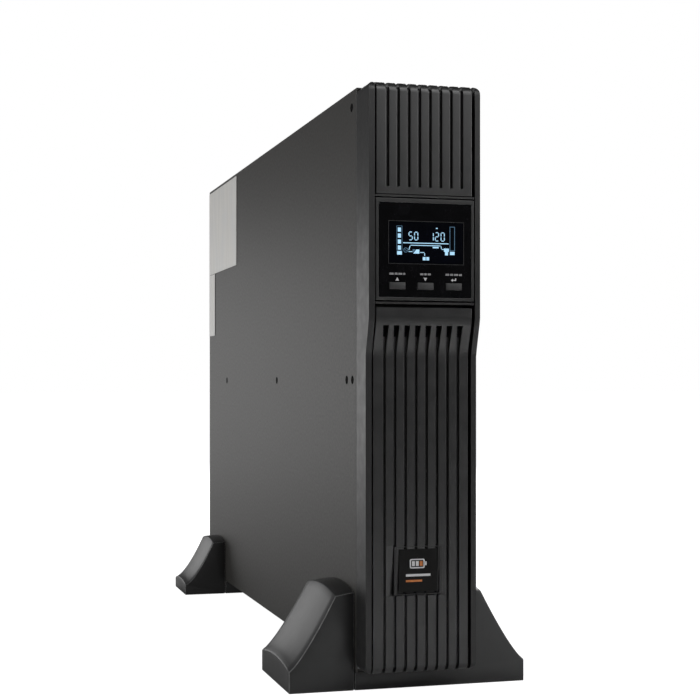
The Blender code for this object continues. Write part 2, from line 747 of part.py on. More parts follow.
def rear_panel(finish):
    low = 2 * SHEET + 2 * FIT
    plate = add_object("rear_panel", boxes((
        (-HALF + SHEET + FIT, HALF - SHEET - FIT), (PANEL_BACK, PANEL_FACE), (low, HEIGHT - low),
    )), finish)
    deep = (PANEL_BACK - 5 * MM, PANEL_FACE + 5 * MM)
    holes = []
    for centre in outlet_centres():
        xs, zs = around(centre, OUTLET_SIZE, FIT - 2 * MM)
        holes.append((xs, deep, zs))
    xs, zs = around((0, INLET_HEIGHT), (34 * MM, 28 * MM), 0.5 * MM)
    holes.append((xs, deep, zs))
    for centre, size, _ in PORTS.values():
        xs, zs = around(centre, size, FIT)
        holes.append((xs, deep, zs))
    for centre, size in (NETWORK_PORTS, TERMINAL):
        xs, zs = around(centre, size, FIT)
        holes.append((xs, deep, zs))
    xs, zs = around(SLOT_COVER[0], (66 * MM, 22 * MM))
    holes.append((xs, deep, zs))
    for row in range(VENT_ROWS):
        z = VENT_START + 7 * row * MM
        holes.append(((-32 * MM, 32 * MM), deep, (z, z + 3.2 * MM)))
    boolean(plate, "DIFFERENCE", boxes(*holes))
    boolean(plate, "DIFFERENCE", cylinder(FAN_BORE, *along((0, FAN_HEIGHT), *deep), segments=48))
    boolean(plate, "DIFFERENCE", cylinder(6.3 * MM, *along(BREAKER_PLACE, *deep), segments=24))


def outlets(finish):
    """Six appliance outlets: a shroud slot round a core with three contact slots."""
    for index, centre in enumerate(outlet_centres()):
        xs, zs = around(centre, OUTLET_SIZE)
        face = PANEL_FACE + FIT + 1.8 * MM
        body = add_object(f"outlet_{index + 1}", boxes((xs, (PANEL_FACE + FIT, face), zs)), finish)
        soften(body, 0.8 * MM, 2, 60)
        in_x, in_z = around(centre, OUTLET_SIZE, -2.2 * MM)
        boolean(body, "UNION", boxes((in_x, (PANEL_FACE - 20 * MM, face - 0.8 * MM), in_z)))
        slot = plug_face(centre, (25 * MM, 18 * MM), 5 * MM)
        boolean(body, "DIFFERENCE", prism(slot, PANEL_FACE - 14 * MM, face + MM, "Y"))
        core = plug_face(centre, (20.4 * MM, 13.4 * MM), 4 * MM)
        boolean(body, "UNION", prism(core, PANEL_FACE - 15 * MM, face - 0.5 * MM, "Y"))
        x, z = centre
        slots = []
        for offset, drop in ((-7 * MM, -2 * MM), (0, 2 * MM), (7 * MM, -2 * MM)):
            slots.append((
                (x + offset - 1.2 * MM, x + offset + 1.2 * MM),
                (PANEL_FACE - 12 * MM, face + MM),
                (z + drop - 2.6 * MM, z + drop + 2.6 * MM),
            ))
        boolean(body, "DIFFERENCE", boxes(*slots))


def inlet(socket_finish, pin_finish):
    """The mains inlet: a flanged shell with a deep cavity, and three blades standing in it."""
    centre = (0, INLET_HEIGHT)
    face = PANEL_FACE + FIT + 2.5 * MM
    floor = PANEL_FACE - 17 * MM
    xs, zs = around(centre, INLET_FLANGE)
    shell = add_object("inlet_shell", boxes((xs, (PANEL_FACE + FIT, face), zs)), socket_finish)
    soften(shell, 1.2 * MM, 2, 60)
    in_x, in_z = around(centre, INLET_SHELL)
    boolean(shell, "UNION", boxes((in_x, (floor - 3 * MM, face - MM), in_z)))
    cavity = prism(plug_face(centre, INLET_MOUTH, 5 * MM), floor, face + 5 * MM, "Y")
    boolean(shell, "DIFFERENCE", cavity)
    for name, x, z in (("line", -6.5, -2.5), ("earth", 0, 5), ("neutral", 6.5, -2.5)):
        xs, zs = around((x * MM, INLET_HEIGHT + z * MM), (2 * MM, 6.5 * MM))
        add_object(f"inlet_blade_{name}", boxes((xs, (floor + FIT, PANEL_FACE - MM), zs)), pin_finish)


def ports(socket_finish, metal_finish, terminal_finish):
    for name, (centre, size, mouth) in PORTS.items():
        face = PANEL_FACE + 1.5 * MM
        xs, zs = around(centre, size)
        body = add_object(name, boxes((xs, (PANEL_FACE - 14 * MM, face), zs)), metal_finish)
        in_x, in_z = around(centre, mouth)
        boolean(body, "DIFFERENCE", boxes((in_x, (PANEL_FACE - 8 * MM, face + MM), in_z)))
    centre, size = NETWORK_PORTS
    xs, zs = around(centre, size)
    face = PANEL_FACE + MM
    body = add_object("network_ports", boxes((xs, (PANEL_FACE - 18 * MM, face), zs)), socket_finish)
    mouths = []
    for side in (-1, 1):
        in_x, in_z = around((centre[0] + side * 8 * MM, centre[1]), (11.8 * MM, 8.6 * MM))
        mouths.append((in_x, (PANEL_FACE - 12 * MM, face + MM), in_z))
    boolean(body, "DIFFERENCE", boxes(*mouths))
    centre, size = TERMINAL
    xs, zs = around(centre, size)
    face = PANEL_FACE + 3.6 * MM
    block = boxes((xs, (PANEL_FACE - 10 * MM, face), zs))
    block = add_object("remote_off_terminal", block, terminal_finish)
    entries = []
    for offset in (-6, -2, 2, 6):
        in_x, in_z = around((centre[0] + offset * MM, centre[1] - 2 * MM), (2.6 * MM, 3.4 * MM))
        entries.append((in_x, (PANEL_FACE - 5 * MM, face + MM), in_z))
    boolean(block, "DIFFERENCE", boxes(*entries))


def slot_cover(finish):
    """The blanking plate of the communication card's slot, folded in at its long edges."""
    xs, zs = around(*SLOT_COVER)
    ys = (PANEL_FACE + FIT, PANEL_FACE + FIT + SHEET)
    plate = add_object("card_slot_cover", boxes((xs, ys, zs)), finish)
    in_x, in_z = around(SLOT_COVER[0], (64 * MM, 20 * MM))
    boolean(plate, "UNION", boxes(
        (in_x, (PANEL_FACE - 8 * MM, PANEL_FACE + FIT + SHEET / 2), (in_z[0], in_z[0] + SHEET)),
        (in_x, (PANEL_FACE - 8 * MM, PANEL_FACE + FIT + SHEET / 2), (in_z[1] - SHEET, in_z[1])),
    ))


def breaker(body_finish, button_finish):
    """The resettable breaker: a threaded collar round a button that is pushed back in."""
    x, z = BREAKER_PLACE
    face = PANEL_FACE + 2.2 * MM
    nut = cylinder(9 * MM, *along(BREAKER_PLACE, PANEL_FACE + FIT, face), segments=6)
    collar = add_object("breaker_collar", nut, body_finish)
    barrel = along(BREAKER_PLACE, PANEL_FACE - 24 * MM, face)
    bore = along(BREAKER_PLACE, PANEL_FACE - 12 * MM, face + MM)
    boolean(collar, "UNION", cylinder(6 * MM, *barrel, segments=24))
    boolean(collar, "DIFFERENCE", cylinder(4.2 * MM, *bore, segments=24))
    stem = cylinder(3.8 * MM, *along(BREAKER_PLACE, PANEL_FACE - 7 * MM, DEPTH), segments=24)
    soften(add_object("breaker_button", stem, button_finish, place(x, PANEL_FACE, z)), 0.5 * MM, 2)


def ground_screw(finish):
    face = PANEL_FACE + 3 * MM
    hexagon = cylinder(4.5 * MM, *along(GROUND_PLACE, PANEL_FACE + FIT, face), segments=6)
    head = add_object("ground_screw", hexagon, finish)
    xs, zs = around(GROUND_PLACE, (6.8 * MM, 1.2 * MM))
    boolean(head, "DIFFERENCE", boxes((xs, (face - 1.2 * MM, face + MM), zs)))


def fan(frame_finish, rotor_finish, guard_finish):
    """An axial fan behind the panel's bore: square frame, spider, rotor, and a ring guard outside."""
    centre = (0, FAN_HEIGHT)
    ys = (PANEL_BACK - 25.4 * MM, PANEL_BACK - FIT)
    xs, zs = around(centre, (FAN_SIZE, FAN_SIZE))
    frame = add_object("fan_frame", boxes((xs, ys, zs)), frame_finish)
    boolean(frame, "DIFFERENCE", cylinder(FAN_BORE, *along(centre, ys[0] - MM, ys[1] + MM), segments=48))
    spider = (ys[0], ys[0] + 2.5 * MM)
    for size in ((79 * MM, 3 * MM), (3 * MM, 79 * MM)):
        bar_x, bar_z = around(centre, size)
        boolean(frame, "UNION", boxes((bar_x, spider, bar_z)))
    boolean(frame, "UNION", cylinder(16 * MM, *along(centre, *spider), segments=32))
    hub = (spider[1] + MM, ys[1] - 3 * MM)
    axle = place(0, hub[0], FAN_HEIGHT)
    hub_shape = cylinder(16 * MM, *along(centre, *hub), segments=32)
    rotor = add_object("fan_rotor", hub_shape, rotor_finish, axle)
    blades = bmesh.new()
    count = 7
    for index in range(count):
        blade = bmesh.ops.create_cube(blades, size=1.0)
        bmesh.ops.scale(blades, vec=(15 * MM, 1.4 * MM, 21 * MM), verts=blade["verts"])
        pitch = Matrix.Rotation(math.radians(48), 4, "Z")
        out = Matrix.Translation((0, 0, 25.8 * MM))
        spin = Matrix.Rotation(index * 2 * math.pi / count, 4, "Y")
        middle = Matrix.Translation(place(0, (hub[0] + hub[1]) / 2, FAN_HEIGHT))
        bmesh.ops.transform(blades, matrix=middle @ spin @ out @ pitch, verts=blade["verts"])
    boolean(rotor, "UNION", blades)
    ring_guard(centre, guard_finish)


def ring_guard(centre, finish):
    """Five flat rings joined by a cross, over the fan's bore."""
    ys = (PANEL_FACE + FIT, PANEL_FACE + FIT + 1.6 * MM)
    inner = FAN_BORE + MM
    guard = add_object("fan_guard", cylinder(FAN_BORE + 3 * MM, *along(centre, *ys), segments=48), finish)
    wide = (ys[0] - MM, ys[1] + MM)
    boolean(guard, "DIFFERENCE", cylinder(inner, *along(centre, *wide), segments=48))
    for radius in (30 * MM, 21 * MM, 12 * MM):
        boolean(guard, "UNION", cylinder(radius + 1.2 * MM, *along(centre, *ys), segments=48))
        boolean(guard, "DIFFERENCE", cylinder(radius - 1.2 * MM, *along(centre, *wide), segments=48))
    boolean(guard, "UNION", cylinder(4 * MM, *along(centre, *ys), segments=16))
    for size in ((78 * MM, 2.4 * MM), (2.4 * MM, 78 * MM)):
        bar_x, bar_z = around(centre, size)
        boolean(guard, "UNION", boxes((bar_x, ys, bar_z)))


# Cradle stands

def stand_height(stand, out):
    """Height of a foot's sloping top above the floor, at a distance out from the chassis side."""
    if out <= stand["land"]:
        return stand["shoulder"] + stand["rise"] * (1 - out / stand["land"])
    left = (stand["reach"] - out) / (stand["reach"] - stand["land"])
    return stand["toe"] + (stand["shoulder"] - stand["toe"]) * max(left, 0) ** stand["sweep"]


def stand_section(stand, seam_x, inset=0.0, steps=12):
    """The right stand seen from the front, as (x, z, crown) from seam to toe, and drawn in for its hollow."""
    side_x = HALF + FIT
    foot = -inset
    points = [(side_x + inset, foot, 0)]
    if seam_x is not None:
        bed = FOOT_LIFT - FIT - inset
        points = [(seam_x + inset, foot, 0), (seam_x + inset, bed, 0), (side_x + inset, bed, 0)]
    slope = stand["reach"] - stand["land"]
    for out in [0] + [stand["land"] + slope * step / steps for step in range(steps + 1)]:
        x = max(side_x + out - inset, side_x + inset)
        points.append((x, stand_height(stand, out) - inset, 1))
    points.append((side_x + stand["reach"] - inset, foot, 0))
    if seam_x is not None:
        points.append((side_x + inset, foot, 0))
    return points


def stand_row(bm, stand, section, side, share, inset):
    """The section's points at a share of the way from the front to the back, where the top is crowned."""
    row = []
    for x, z, crown in section:
        out = max(x - HALF - FIT, 0) / stand["reach"]
        depth = stand["depth"] + (stand["toe_depth"] - stand["depth"]) * out
        back = inset + (depth - 2 * inset) * share
        lift = stand["crown"] * (1 - (2 * back / depth - 1) ** 2)
        row.append(bm.verts.new((side * x, FRONT_Y + stand["start"] + back, z + crown * lift)))
    return row


def close_end(bm, row, bridged):
    """Closes one end of the sweep, with the bridge under the chassis in a face of its own."""
    if bridged:
        bm.faces.new((row[0], row[1], row[2], row[-1]))
        row = row[2:]
    bm.faces.new(row)


def stand_sweep(stand, side, seam_x, inset=0.0):
    """The section swept along Y, closed all round."""
    section = stand_section(stand, seam_x, inset)
    bm = bmesh.new()
    steps = 10
    rows = [stand_row(bm, stand, section, side, step / steps, inset) for step in range(steps + 1)]
    for near, far in zip(rows, rows[1:]):
        for index in range(len(section)):
            bm.faces.new((near[index - 1], near[index], far[index], far[index - 1]))
    close_end(bm, rows[0], seam_x is not None)
    close_end(bm, rows[-1], seam_x is not None)
    return bm


def stand_half(name, stand, side, seam_x, finish):
    """A moulded shell, open underneath, with a flat rim to stand on."""
    half = add_object(name, stand_sweep(stand, side, seam_x), finish)
    soften(half, STAND_EDGE, 2, 40)
    boolean(half, "DIFFERENCE", stand_sweep(stand, side, seam_x, STAND_WALL))


def stands(finish):
    """Each stand is two halves that meet under the chassis at its left side."""
    seam_x = STAND_SEAM_GAP - HALF - FIT
    for end, stand in (("front", FRONT_STAND), ("rear", REAR_STAND)):
        stand_half(f"{end}_stand_right", stand, 1, seam_x, finish)
        stand_half(f"{end}_stand_left", stand, -1, None, finish)


# Assembly

clear_scene()
PARTS = new_collection("uninterruptible_power_supply")
CUTTERS = new_collection("cutters")


def build():
    look = finishes()
    bezel_rails(look["bezel"])
    bezel_web(look["bezel"])
    crossbars(look["bezel"])
    upper_panel(look["bezel"])
    battery_door(look["bezel"])
    badge_plate(look["badge"])
    display_housing(look["bezel"])
    display_glass(look["glass"])
    lcd_panel(look["lcd"])
    display_board(look["board"])
    buttons(look["button"])
    chassis_tray(look["cover"])
    side_cover(look["cover"])
    front_bulkhead(look["zinc"])
    battery_cage(look["zinc"])
    labels(look["label"])
    battery_pack(look["pack"])
    battery_strap(look["strap"])
    battery_connector(look["socket"])
    power_board(look["board"])
    control_board(look["board"])
    heat_sinks(look["sink"])
    transformer(look["core"], look["winding"], look["zinc"])
    capacitors(look["capacitor"])
    transfer_relay(look["relay"])
    rear_panel(look["cover"])
    outlets(look["socket"])
    inlet(look["socket"], look["pin"])
    ports(look["socket"], look["zinc"], look["terminal"])
    slot_cover(look["cover"])
    breaker(look["socket"], look["button"])
    ground_screw(look["pin"])
    fan(look["fan"], look["fan"], look["zinc"])
    stands(look["stand"])


build()
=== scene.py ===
"""The uninterruptible power supply's looks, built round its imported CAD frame.

Metres, in the frame's own axes: +Z up, the grooved front facing -Y. Positions come from the boxes of the CAD
nodes.
"""

import math

import bmesh
import bpy
from mathutils import Matrix, Vector


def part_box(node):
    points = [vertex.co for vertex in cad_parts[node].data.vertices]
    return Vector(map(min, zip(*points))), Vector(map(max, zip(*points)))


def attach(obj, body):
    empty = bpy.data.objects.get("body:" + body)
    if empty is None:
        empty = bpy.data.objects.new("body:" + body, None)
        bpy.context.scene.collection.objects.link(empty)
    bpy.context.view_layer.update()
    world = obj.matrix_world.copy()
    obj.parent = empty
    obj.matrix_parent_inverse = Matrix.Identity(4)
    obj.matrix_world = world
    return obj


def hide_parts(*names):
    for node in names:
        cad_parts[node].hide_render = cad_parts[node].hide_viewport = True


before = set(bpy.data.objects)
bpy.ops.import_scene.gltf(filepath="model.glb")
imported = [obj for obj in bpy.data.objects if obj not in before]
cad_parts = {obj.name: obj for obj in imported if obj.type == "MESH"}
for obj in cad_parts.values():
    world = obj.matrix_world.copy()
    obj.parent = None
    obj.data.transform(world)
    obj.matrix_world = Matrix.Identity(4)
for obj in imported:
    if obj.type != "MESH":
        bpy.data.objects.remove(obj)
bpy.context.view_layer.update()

MM = 0.001


# Camera, light and floor

CAMERA_PLACE = (-0.3392, -1.3372, 0.2316)
CAMERA_TURN = math.radians(-15.641)
CAMERA_LENS = 74.43
CAMERA_SENSOR = 36
CAMERA_RISE = 0.0459
CAMERA_NEAR = 0.05

# Brightness of the world to everything but the camera, and of the floor to the camera alone
STUDIO_GLOW = 0.10
PAPER_GLOW = 0.95
PAPER_TONE = 0.62
FLOOR_HALF_SIZE = 30

# Each softbox: where it is, what it faces, its width and height, its power, and its spread in degrees
SOFTBOXES = {
    "side_softbox": ((-0.80, 1.9, 0.26), (-0.04, 0, 0.25), (0.9, 0.62), 2.2, 180),
    "left_softbox": ((-2.2, -0.1, 0.8), (0, 0, 0.23), (1.4, 1.2), 20, 180),
    "front_softbox": ((0.8, -2.0, 1.3), (0, -0.33, 0.4), (1.2, 1.0), 5.1, 180),
    "right_softbox": ((1.7, -1.4, 0.9), (0, -0.33, 0.35), (0.8, 1.0), 9, 180),
    "crown_softbox": ((0.2, -1.0, 1.2), (0, -0.33, 0.45), (0.8, 0.3), 2, 180),
    "floor_softbox": ((0.1, -0.62, 1.3), (0.1, -0.62, 0), (0.8, 0.25), 0.6, 30),
    "rear_softbox": ((0.9, 2.0, 1.1), (0, 0.33, 0.25), (1.2, 1.0), 22, 180),
}


def add_camera():
    data = bpy.data.cameras.new("camera")
    data.lens = CAMERA_LENS
    data.sensor_width = CAMERA_SENSOR
    data.shift_y = CAMERA_RISE
    data.clip_start = CAMERA_NEAR
    camera = bpy.data.objects.new("camera", data)
    camera.location = CAMERA_PLACE
    camera.rotation_euler = (math.pi / 2, 0, CAMERA_TURN)
    bpy.context.scene.collection.objects.link(camera)
    bpy.context.scene.camera = camera


def add_light(name, place, target, size, power, spread):
    data = bpy.data.lights.new(name, "AREA")
    data.shape = "RECTANGLE"
    data.size, data.size_y = size
    data.energy = power
    data.spread = math.radians(spread)
    light = bpy.data.objects.new(name, data)
    light.location = place
    aim = Vector(target) - Vector(place)
    light.rotation_euler = aim.to_track_quat("-Z", "Y").to_euler()
    light.visible_camera = False
    bpy.context.scene.collection.objects.link(light)


def camera_mix(tree, others, camera):
    """A strength that is one value to the camera and another to every other ray."""
    seen = tree.nodes.new("ShaderNodeLightPath")
    pick = tree.nodes.new("ShaderNodeMix")
    pick.data_type = "FLOAT"
    tree.links.new(seen.outputs["Is Camera Ray"], pick.inputs[0])
    pick.inputs[2].default_value = others
    pick.inputs[3].default_value = camera
    return pick.outputs[0]


def add_world():
    """A dim studio behind a white backdrop."""
    world = bpy.data.worlds.new("studio")
    world.use_nodes = True
    background = world.node_tree.nodes["Background"]
    background.inputs["Color"].default_value = (1, 1, 1, 1)
    glow = camera_mix(world.node_tree, STUDIO_GLOW, 1.0)
    world.node_tree.links.new(glow, background.inputs["Strength"])
    bpy.context.scene.world = world
    bpy.context.scene.view_settings.view_transform = "Standard"


def add_floor():
    """A pale sheet of paper, wide enough to reach the horizon."""
    mesh = bpy.data.meshes.new("floor")
    bm = bmesh.new()
    bmesh.ops.create_grid(bm, x_segments=1, y_segments=1, size=FLOOR_HALF_SIZE)
    bm.to_mesh(mesh)
    bm.free()
    floor = bpy.data.objects.new("floor", mesh)
    bpy.context.scene.collection.objects.link(floor)
    paint = bpy.data.materials.new("floor_paper")
    paint.use_nodes = True
    shader = paint.node_tree.nodes["Principled BSDF"]
    shader.inputs["Base Color"].default_value = (PAPER_TONE, PAPER_TONE, PAPER_TONE, 1)
    shader.inputs["Roughness"].default_value = 0.9
    shader.inputs["Specular IOR Level"].default_value = 0.1
    shader.inputs["Emission Color"].default_value = (1, 1, 1, 1)
    glow = camera_mix(paint.node_tree, 0.0, PAPER_GLOW)
    paint.node_tree.links.new(glow, shader.inputs["Emission Strength"])
    mesh.materials.append(paint)


add_camera()
add_world()
add_floor()
for softbox, facts in SOFTBOXES.items():
    add_light(softbox, *facts)


# Materials

class Shader:
    """Adds shader nodes to a new material and joins them."""

    def __init__(self, name):
        self.material = bpy.data.materials.new(name)
        self.material.use_nodes = True
        self.tree = self.material.node_tree
        self.out = self.tree.nodes["Principled BSDF"]

    def add(self, kind, inputs=None, **settings):
        """Adds a node, with values or other nodes' outputs for its inputs."""
        node = self.tree.nodes.new(kind)
        for key, value in settings.items():
            setattr(node, key, value)
        for key, value in (inputs or {}).items():
            self.put(value, node.inputs[key])
        return node

    def put(self, value, socket):
        if isinstance(value, bpy.types.NodeSocket):
            self.tree.links.new(value, socket)
        elif isinstance(value, tuple) and len(socket.default_value) == 4:
            socket.default_value = (*value, 1.0)[:4]
        else:
            socket.default_value = value

    def set(self, **values):
        """Sets the surface's own inputs, named with an underscore for each space."""
        for key, value in values.items():
            self.put(value, self.out.inputs[key.replace("_", " ")])
        return self

    def place(self, scale=(1, 1, 1)):
        """The piece's own coordinates, stretched along its axes."""
        where = self.add("ShaderNodeTexCoord").outputs["Object"]
        return self.add("ShaderNodeMapping", {"Vector": where, "Scale": scale}).outputs["Vector"]

    def noise(self, scale, detail=3.0, stretch=(1, 1, 1)):
        inputs = {"Scale": scale, "Detail": detail, "Vector": self.place(stretch)}
        return self.add("ShaderNodeTexNoise", inputs).outputs["Fac"]

    def ranged(self, value, low, high, out_low=0.0, out_high=1.0):
        node = self.add("ShaderNodeMapRange", {
            "Value": value, "From Min": low, "From Max": high, "To Min": out_low, "To Max": out_high,
        })
        return node.outputs["Result"]

    def mix(self, factor, first, second):
        node = self.add("ShaderNodeMix", {0: factor, 6: first, 7: second}, data_type="RGBA")
        return node.outputs[2]

    def times(self, first, second):
        return self.add("ShaderNodeMath", {0: first, 1: second}, operation="MULTIPLY").outputs[0]

    def bump(self, height, strength, distance):
        node = self.add("ShaderNodeBump", {"Height": height, "Strength": strength, "Distance": distance})
        return node.outputs["Normal"]

    def edges(self, radius):
        """1 on sharp edges and 0 on flats, from how far a rounded normal leans away from the true one."""
        soft = self.add("ShaderNodeBevel", {"Radius": radius}, samples=4).outputs["Normal"]
        hard = self.add("ShaderNodeNewGeometry").outputs["Normal"]
        dot = self.add("ShaderNodeVectorMath", {0: soft, 1: hard}, operation="DOT_PRODUCT").outputs["Value"]
        return self.ranged(dot, 0.992, 0.90)


def scaled(colour, share):
    return tuple(channel * share for channel in colour)


def moulded(name, colour, roughness, grain=1300.0, depth=0.05 * MM, drift=0.05, scuff_and_highlight=0.0, metallic=0.0,
            stretch=(1, 1, 1), spread=0.05, gloss=0.5, scuff_and_highlight_tone=0.10):
    """Moulded or painted: fine grain, a slow drift of tone, mottled gloss, and edges painted paler, for
    scuffing and, on the stands, as a painted highlight.
    """
    s = Shader(name)
    fine = s.noise(grain, 2.0, stretch)
    slow = s.noise(14.0, 3.0)
    patch = s.noise(120.0, 4.0)
    tone = s.mix(s.ranged(slow, 0.3, 0.7), scaled(colour, 1 - drift), scaled(colour, 1 + drift))
    tone = s.mix(s.ranged(fine, 0.35, 0.65, 0.0, 0.3), tone, scaled(colour, 0.78))
    # Paler edges: scuffing, and where the edge tone is bright, as on the stands, a painted highlight for the
    # glints along crisp edges.
    if scuff_and_highlight:
        paler_edge_mask = s.times(s.edges(MM), s.ranged(patch, 0.3, 0.7, scuff_and_highlight * 0.5, scuff_and_highlight))
        tone = s.mix(paler_edge_mask, tone, tuple(scuff_and_highlight_tone + 1.6 * channel for channel in colour))
    return s.set(
        Base_Color=tone,
        Roughness=s.ranged(patch, 0.3, 0.7, roughness - spread, roughness + spread),
        Normal=s.bump(fine, 0.35, depth),
        Metallic=metallic,
        Specular_IOR_Level=gloss,
    ).material


def powder_coat(name, colour, roughness):
    """Painted sheet: orange peel with a finer sandy grain over it, paler on the folds."""
    s = Shader(name)
    peel = s.noise(420.0, 2.0)
    sand = s.noise(1900.0, 2.0)
    slow = s.noise(6.0, 2.0)
    tone = s.mix(s.ranged(slow, 0.3, 0.7), scaled(colour, 0.96), scaled(colour, 1.04))
    tone = s.mix(s.ranged(sand, 0.4, 0.7, 0.0, 0.35), tone, scaled(colour, 1.35))
    paler_edge_mask = s.times(s.edges(0.8 * MM), s.ranged(s.noise(160.0, 4.0), 0.35, 0.65, 0.15, 0.5))
    tone = s.mix(paler_edge_mask, tone, tuple(0.08 + channel for channel in colour))
    height = s.add("ShaderNodeMath", {0: peel, 1: s.times(sand, 0.5)}, operation="ADD").outputs[0]
    return s.set(
        Base_Color=tone,
        Roughness=s.ranged(peel, 0.3, 0.7, roughness - 0.04, roughness + 0.04),
        Normal=s.bump(height, 0.25, 0.08 * MM),
    ).material


def zinc_sheet(name):
    """Zinc-coated steel: faint spangle under a rolled grain."""
    s = Shader(name)
    spangle = s.add("ShaderNodeTexVoronoi", {"Vector": s.place(), "Scale": 150.0}).outputs["Color"]
    rolled = s.noise(70.0, 3.0, (1, 12, 1))
    return s.set(
        Base_Color=s.mix(s.ranged(spangle, 0.0, 1.0), (0.42, 0.43, 0.44), (0.60, 0.61, 0.62)),
        Metallic=0.85,
        Roughness=s.ranged(rolled, 0.3, 0.7, 0.30, 0.48),
        Normal=s.bump(rolled, 0.2, 0.03 * MM),
    ).material


def brushed_film(name, tone, tint):
    """Silver film, brushed upright, with faint handling marks."""
    s = Shader(name)
    lines = s.noise(520.0, 2.0, (1, 1, 0.03))
    marks = s.noise(26.0, 4.0)
    brushed = s.mix(s.ranged(lines, 0.3, 0.7), scaled(tone, 0.86), tone)
    return s.set(
        Base_Color=s.mix(s.ranged(marks, 0.45, 0.75, 0.0, 0.35), brushed, tint),
        Metallic=0.1,
        Roughness=s.ranged(lines, 0.3, 0.7, 0.40, 0.55),
        Normal=s.bump(lines, 0.12, 0.02 * MM),
    ).material


def cover_glass(name):
    """Gloss black window with faint smudges."""
    s = Shader(name)
    smudge = s.noise(60.0, 4.0)
    return s.set(
        Base_Color=s.mix(s.ranged(smudge, 0.4, 0.7), (0.003, 0.003, 0.0035), (0.005, 0.005, 0.006)),
        Roughness=s.ranged(smudge, 0.35, 0.7, 0.07, 0.18),
        Specular_IOR_Level=0.15,
        Normal=s.bump(smudge, 0.02, 0.2 * MM),
    ).material


def lcd_glass(name):
    """The unlit display: almost black, a little bluer where its backlight leaks."""
    s = Shader(name)
    leak = s.noise(40.0, 2.0)
    tone = s.mix(s.ranged(leak, 0.3, 0.7), (0.0004, 0.0006, 0.0015), (0.0007, 0.001, 0.003))
    return s.set(
        Base_Color=tone,
        Emission_Color=tone,
        Emission_Strength=0.3,
        Roughness=s.ranged(s.noise(300.0), 0.3, 0.7, 0.16, 0.24),
        Specular_IOR_Level=0.1,
    ).material


def lit(name, colour, strength):
    """Lit figures, a little uneven."""
    s = Shader(name)
    tone = s.mix(s.ranged(s.noise(300.0, 2.0), 0.3, 0.7), scaled(colour, 0.8), colour)
    return s.set(
        Base_Color=scaled(colour, 0.3),
        Emission_Color=tone,
        Emission_Strength=strength,
        Roughness=0.4,
    ).material


def printed(name, colour):
    """Screen-printed ink: slightly raised and uneven."""
    s = Shader(name)
    grain = s.noise(1500.0, 3.0)
    return s.set(
        Base_Color=s.mix(s.ranged(grain, 0.35, 0.65), scaled(colour, 0.85), colour),
        Roughness=s.ranged(grain, 0.3, 0.7, 0.45, 0.6),
        Normal=s.bump(grain, 0.2, 0.02 * MM),
    ).material


def woven(name, colour):
    """Webbing: ribs along the strap crossed by a finer weft."""
    s = Shader(name)
    ribs = s.add("ShaderNodeTexWave", {"Vector": s.place(), "Scale": 190.0, "Distortion": 0.4})
    weft = s.add("ShaderNodeTexWave", {"Vector": s.place(), "Scale": 420.0}, bands_direction="Z")
    weave = s.times(ribs.outputs["Fac"], weft.outputs["Fac"])
    return s.set(
        Base_Color=s.mix(weave, scaled(colour, 0.5), scaled(colour, 1.6)),
        Roughness=s.ranged(weave, 0.0, 1.0, 0.9, 0.75),
        Normal=s.bump(weave, 0.6, 0.3 * MM),
    ).material


def board_mask(name):
    """Solder mask, with tracks and scattered pads."""
    s = Shader(name)
    tracks = s.add("ShaderNodeTexBrick", {"Vector": s.place(), "Scale": 70.0}).outputs["Fac"]
    pads = s.noise(420.0, 2.0)
    mask = s.mix(s.ranged(tracks, 0.0, 1.0, 0.0, 0.6), (0.010, 0.070, 0.030), (0.03, 0.14, 0.06))
    return s.set(
        Base_Color=s.mix(s.ranged(pads, 0.62, 0.70), mask, (0.35, 0.33, 0.26)),
        Roughness=s.ranged(pads, 0.3, 0.7, 0.28, 0.45),
        Normal=s.bump(tracks, 0.2, 0.1 * MM),
    ).material


CHARCOAL = (0.010, 0.010, 0.0103)

